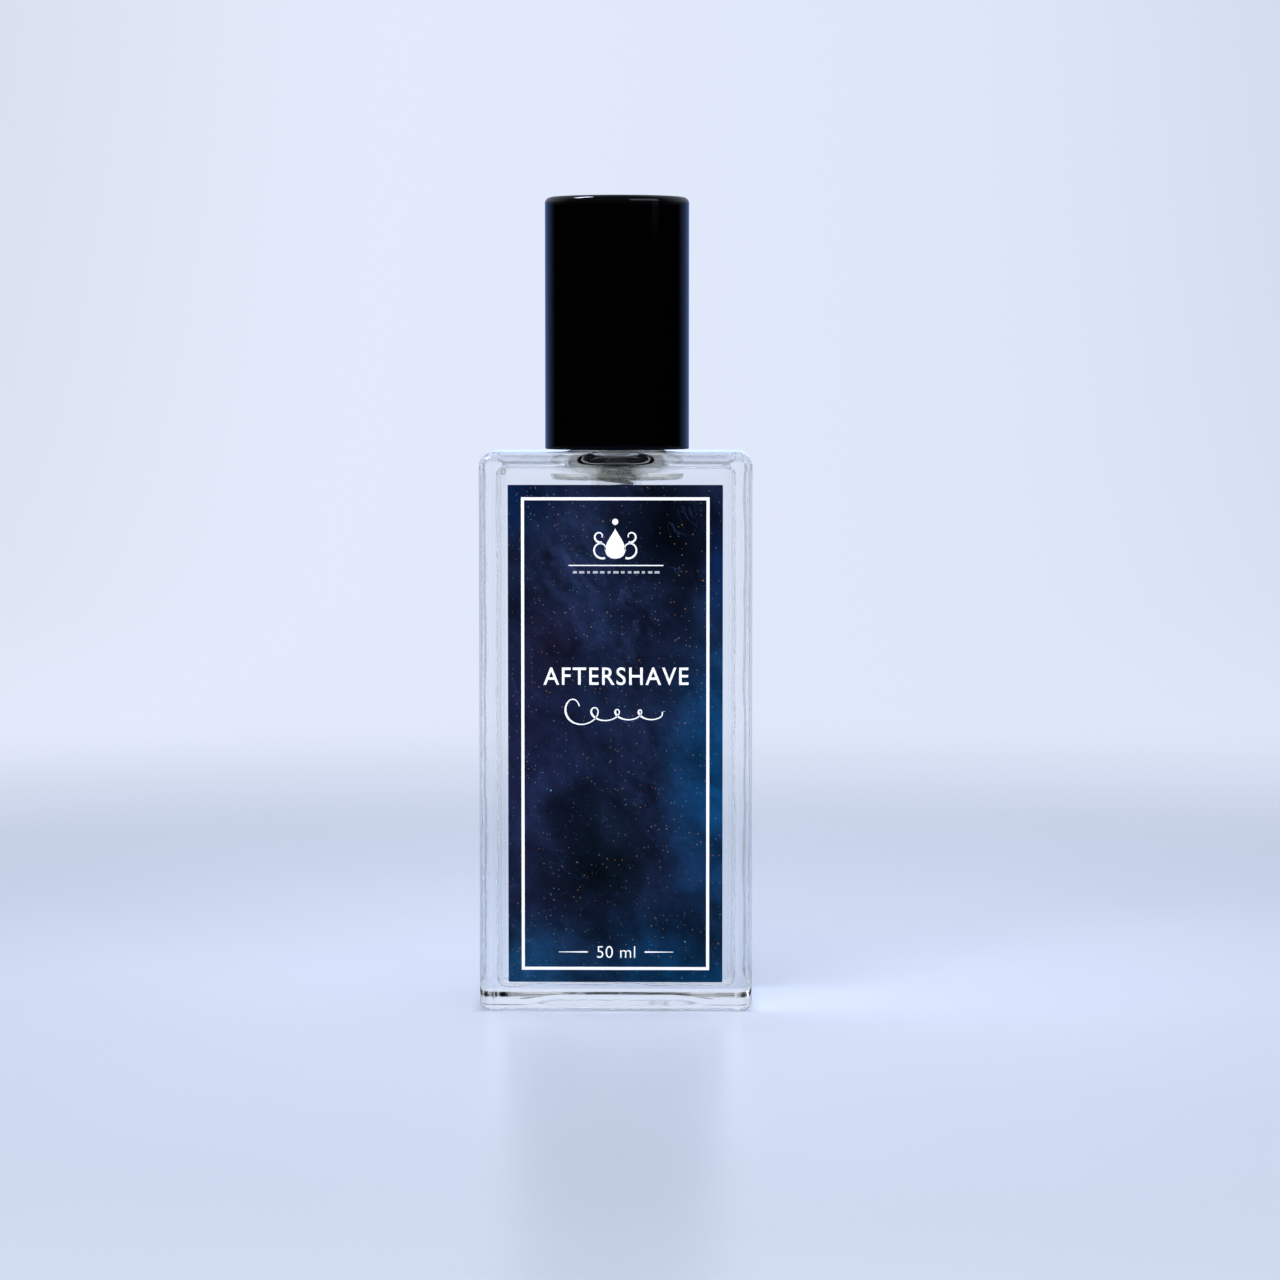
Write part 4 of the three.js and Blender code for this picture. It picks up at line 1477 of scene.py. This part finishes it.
# ---- the studio ------------------------------------------------------------------------
@dataclass
class Studio:
    """A pale sweep lit by soft light, with dark in front so that black stays black."""

    lens: float = 115.8
    distance: float = 612.5
    eye_height: float = 95.0
    aside: float = 13.6
    tilt: float = 3.847
    turn: float = 0.954
    floor_radius: float = 900.0
    near_tone: Colour = (0.85, 0.88, 0.945)
    # The floor darkens to this tone away from the bottle: painted light falloff.
    painted_falloff_tone: Colour = (0.765, 0.795, 0.845)
    left_tone: Colour = (0.895, 0.925, 0.99)
    right_tone: Colour = (0.862, 0.893, 0.972)
    mirror_tone: Colour = (0.48, 0.6, 0.86)
    rim_light: Colour = (0.7, 0.75, 1.0)

    def build_camera(self) -> None:
        """Sets a long lens a little above the shoulder, to the right of the middle."""
        data = bpy.data.cameras.new("camera")
        data.lens, data.sensor_width, data.clip_end = self.lens, 36.0, 20.0
        camera = bpy.data.objects.new("camera", data)
        camera.location = Vector((self.aside, -self.distance, self.eye_height)) * MM
        tilt, turn = math.radians(90 - self.tilt), math.radians(self.turn)
        camera.rotation_euler = Euler((tilt, 0, turn))
        bpy.context.scene.collection.objects.link(camera)
        bpy.context.scene.camera = camera

    def sweep_tone(self, r: Recipe) -> bpy.types.NodeSocket:
        """Returns the sweep's colour, with painted light: a little brighter to the left and in the
        middle.
        """
        across = r.part(r.place(), "X")
        side = r.ramp(across, -400, 400)
        tone = r.mix(side, linear(self.left_tone), linear(self.right_tone))
        # Painted falloff: the glow darkens towards the sides.
        edge = r.ramp(r.math("ABSOLUTE", across), 120, 420, 1.0, 0.865)
        return r.mix(1.0, tone, edge, "MULTIPLY")

    def floor_finish(self) -> bpy.types.Material:
        """Returns the satin floor, which fades into the sweep's glow with distance.

        Its colour holds painted light and shade: a painted falloff that darkens it away from
        a point just behind the bottle, a painted band of shade behind the bottle, and a
        painted contact shadow within a millimetre or two of the glass. Mirrors see it as
        blue: dim in front, as in a studio with black flags, and bright behind.
        """
        r = Recipe("floor_pale")
        place = r.place()
        flat = r.add("VectorMath", operation="MULTIPLY", in_0=place, in_1=(1, 1, 0))
        away = r.add("VectorMath", operation="LENGTH", in_0=flat).outputs["Value"]
        # Painted light falloff: the floor is lightest near a point just behind the bottle and
        # darkens away from it.
        shifted = r.add("VectorMath", operation="SUBTRACT", in_0=flat, in_1=(15, 50, 0))
        reach = r.add("VectorMath", operation="LENGTH", in_0=shifted).outputs["Value"]
        tone = r.mix(r.ramp(reach, 10, 230), linear(self.near_tone), linear(self.painted_falloff_tone))
        speckle = r.noise(place, 0.02, 3.0)
        tone = r.mix(1.0, tone, r.ramp(speckle, 0.3, 0.7, 0.985, 1.0), "MULTIPLY")
        depth = r.part(place, "Y")
        # Painted shade: a soft darker band on the floor behind the bottle, where the sweep bends
        # up.
        dip = r.math("MULTIPLY", r.ramp(depth, 20, 110), r.ramp(depth, 170, 460, 0.04, 0.0))
        bend = r.math("SUBTRACT", 1.0, dip)
        tone = r.mix(1.0, tone, bend, "MULTIPLY")
        # Painted contact shadow: the floor darkens within a millimetre or two of the bottle's
        # footprint.
        beside = r.math("SUBTRACT", r.math("ABSOLUTE", r.part(place, "X")), 20)
        before = r.math("SUBTRACT", r.math("ABSOLUTE", depth), 12.5)
        painted_contact_shadow = r.ramp(r.math("MAXIMUM", beside, before), -1.0, 1.6, 0.66, 1.0)
        tone = r.mix(1.0, tone, painted_contact_shadow, "MULTIPLY")
        satin = r.add("BsdfPrincipled", Base_Color=tone, Roughness=0.3)
        # The sweep's glow on the floor takes the same painted band of shade.
        shade = r.mix(1.0, self.sweep_tone(r), bend, "MULTIPLY")
        glow = r.add("Emission", Color=shade, Strength=1.0)
        floor = r.add("MixShader", in_0=r.ramp(away, 120, 500), in_1=satin, in_2=glow)
        behind = r.ramp(r.math("DIVIDE", depth, away), 0.35, 1.0, 0.22, 1.0)
        blue = r.add("Emission", Color=linear(self.mirror_tone), Strength=behind)
        return r.finish(r.add("MixShader", in_0=r.mirrored(), in_1=floor, in_2=blue))

    def wall_finish(self) -> bpy.types.Material:
        """Returns the sweep's even glow, with painted light that makes it a little warmer and
        brighter to the left.
        """
        r = Recipe("sweep_glow")
        return r.finish(r.add("Emission", Color=self.sweep_tone(r), Strength=1.0))

    def build_sweep(self) -> None:
        """Builds the floor and the wall: both are turned about the bottle's axis."""
        angle = np.linspace(-np.pi / 2, 0, 24)
        start, bend = self.floor_radius, 600.0
        edge = [(start + bend * math.cos(a), bend + bend * math.sin(a) - 0.2) for a in angle]
        wall = np.array([(start - 5, -0.2), *edge, (start + bend, 1700.0)])
        radii = np.array([8, 20, 60, 150, 350, 600, start])
        level = circles(np.stack([radii, 0 * radii - 0.05], axis=-1)[::-1], 96)[:, ::-1]
        floor = skin("floor", level, None, (0, 0, -0.05), sharp=180)
        floor.data.materials.append(self.floor_finish())
        sweep = skin("sweep", circles(wall, 96)[:, ::-1], sharp=180)
        sweep.data.materials.append(self.wall_finish())
        sweep.visible_glossy = False

    def build_world(self) -> None:
        """Sets an even pale sky, and another that shows only in mirrors.

        Mirrors see a grey above the horizon, dim in front and brighter behind, with a
        bright patch straight behind, and a blue glow below it that grows behind.
        """
        r = WorldRecipe("studio_air")
        way = r.add("TexCoord").outputs["Generated"]
        back, up = r.part(way, "Y"), r.part(way, "Z")

        def line(
            value: object, low: float, high: float, start: float, stop: float
        ) -> bpy.types.Node:
            """Maps a value in a straight line from low..high to start..stop."""
            return r.add("MapRange", in_0=value, in_1=low, in_2=high, in_3=start, in_4=stop)

        over = r.math("MULTIPLY", line(back, -0.1, 0.4, 0.12, 0.6), line(up, 0.05, 0.14, 0.0, 1.0))
        shine = r.math("MAXIMUM", over, line(back, 0.985, 0.998, 0.0, 0.95))
        under = r.math("MULTIPLY", line(back, 0.45, 1.0, 0.0, 1.0), line(up, 0.05, 0.14, 1.0, 0.0))
        grey = r.add("Background", Color=linear((0.86, 0.89, 0.96)), Strength=shine)
        blue = r.add("Background", Color=linear(self.mirror_tone), Strength=under)
        mirror = r.add("AddShader", in_0=grey, in_1=blue)
        even = r.add("Background", Color=linear((0.95, 0.97, 1.0)), Strength=0.9)
        r.add(
            "OutputWorld",
            Surface=r.add("MixShader", in_0=r.mirrored(), in_1=even, in_2=mirror),
        )
        bpy.context.scene.world = r.world

    def lamp(
        self, name: str, bearing: float, height: float, away: float, size: tuple[float, float],
        power: float, mirrored: bool,
    ) -> None:
        """Adds a soft box that faces the bottle.

        Args:
            name: the lamp's name.
            bearing: degrees round from the front, to the right.
            height: metres above the floor.
            away: metres from the axis.
            size: its width and height in metres.
            power: watts.
            mirrored: True if it only shows in glossy surfaces and through clear ones, in
                the rim light's colour, and False if it only lights the rest.
        """
        data = bpy.data.lights.new(name, "AREA")
        data.shape, data.size, data.size_y, data.energy = "RECTANGLE", *size, power
        lamp = bpy.data.objects.new(name, data)
        angle = math.radians(bearing)
        lamp.location = (away * math.sin(angle), -away * math.cos(angle), height)
        aim = Vector((0, 0, 0.06)) - lamp.location
        lamp.rotation_euler = aim.to_track_quat("-Z", "Y").to_euler()
        if mirrored:
            data.color = self.rim_light
        lamp.visible_glossy = mirrored
        lamp.visible_diffuse = not mirrored
        lamp.visible_camera = False
        lamp.visible_transmission = mirrored
        bpy.context.scene.collection.objects.link(lamp)

    def build(self) -> None:
        """Builds the camera, the sweep, the air and the lamps."""
        self.build_camera()
        self.build_sweep()
        self.build_world()
        self.lamp("front_box", -20, 0.7, 1.1, (0.8, 0.6), 8.0, False)
        self.lamp("top_box", 0, 1.5, 0.05, (0.9, 0.9), 6.2, False)
        self.lamp("side_strip", 64, 0.48, 1.0, (0.22, 0.7), 0.07, True)
        self.lamp("rim_streak", -90, 1.3, 0.75, (0.32, 0.5), 18.0, True)
        self.lamp("rim_wedge", 48, 0.5, 0.85, (0.8, 0.4), 2.0, True)
        bpy.context.scene.view_settings.view_transform = "Standard"


def main() -> None:
    """Builds the studio and every sub-assembly, in order."""
    logging.basicConfig(level=logging.INFO, format="%(name)s: %(message)s")
    glass = GlassBottle()
    builders: list[tuple[str, Callable[[], None]]] = [
        ("studio", Studio().build),
        ("glass bottle", glass.build),
        ("fragrance", Fragrance(glass).build),
        ("front label", FrontLabel().build),
        ("pump", Pump().build),
        ("spray button", SprayButton().build),
        ("collar and cap", CollarAndCap().build),
    ]
    for name, build in builders:
        build()
        log.info("built the %s", name)


if __name__ == "__main__":
    main()
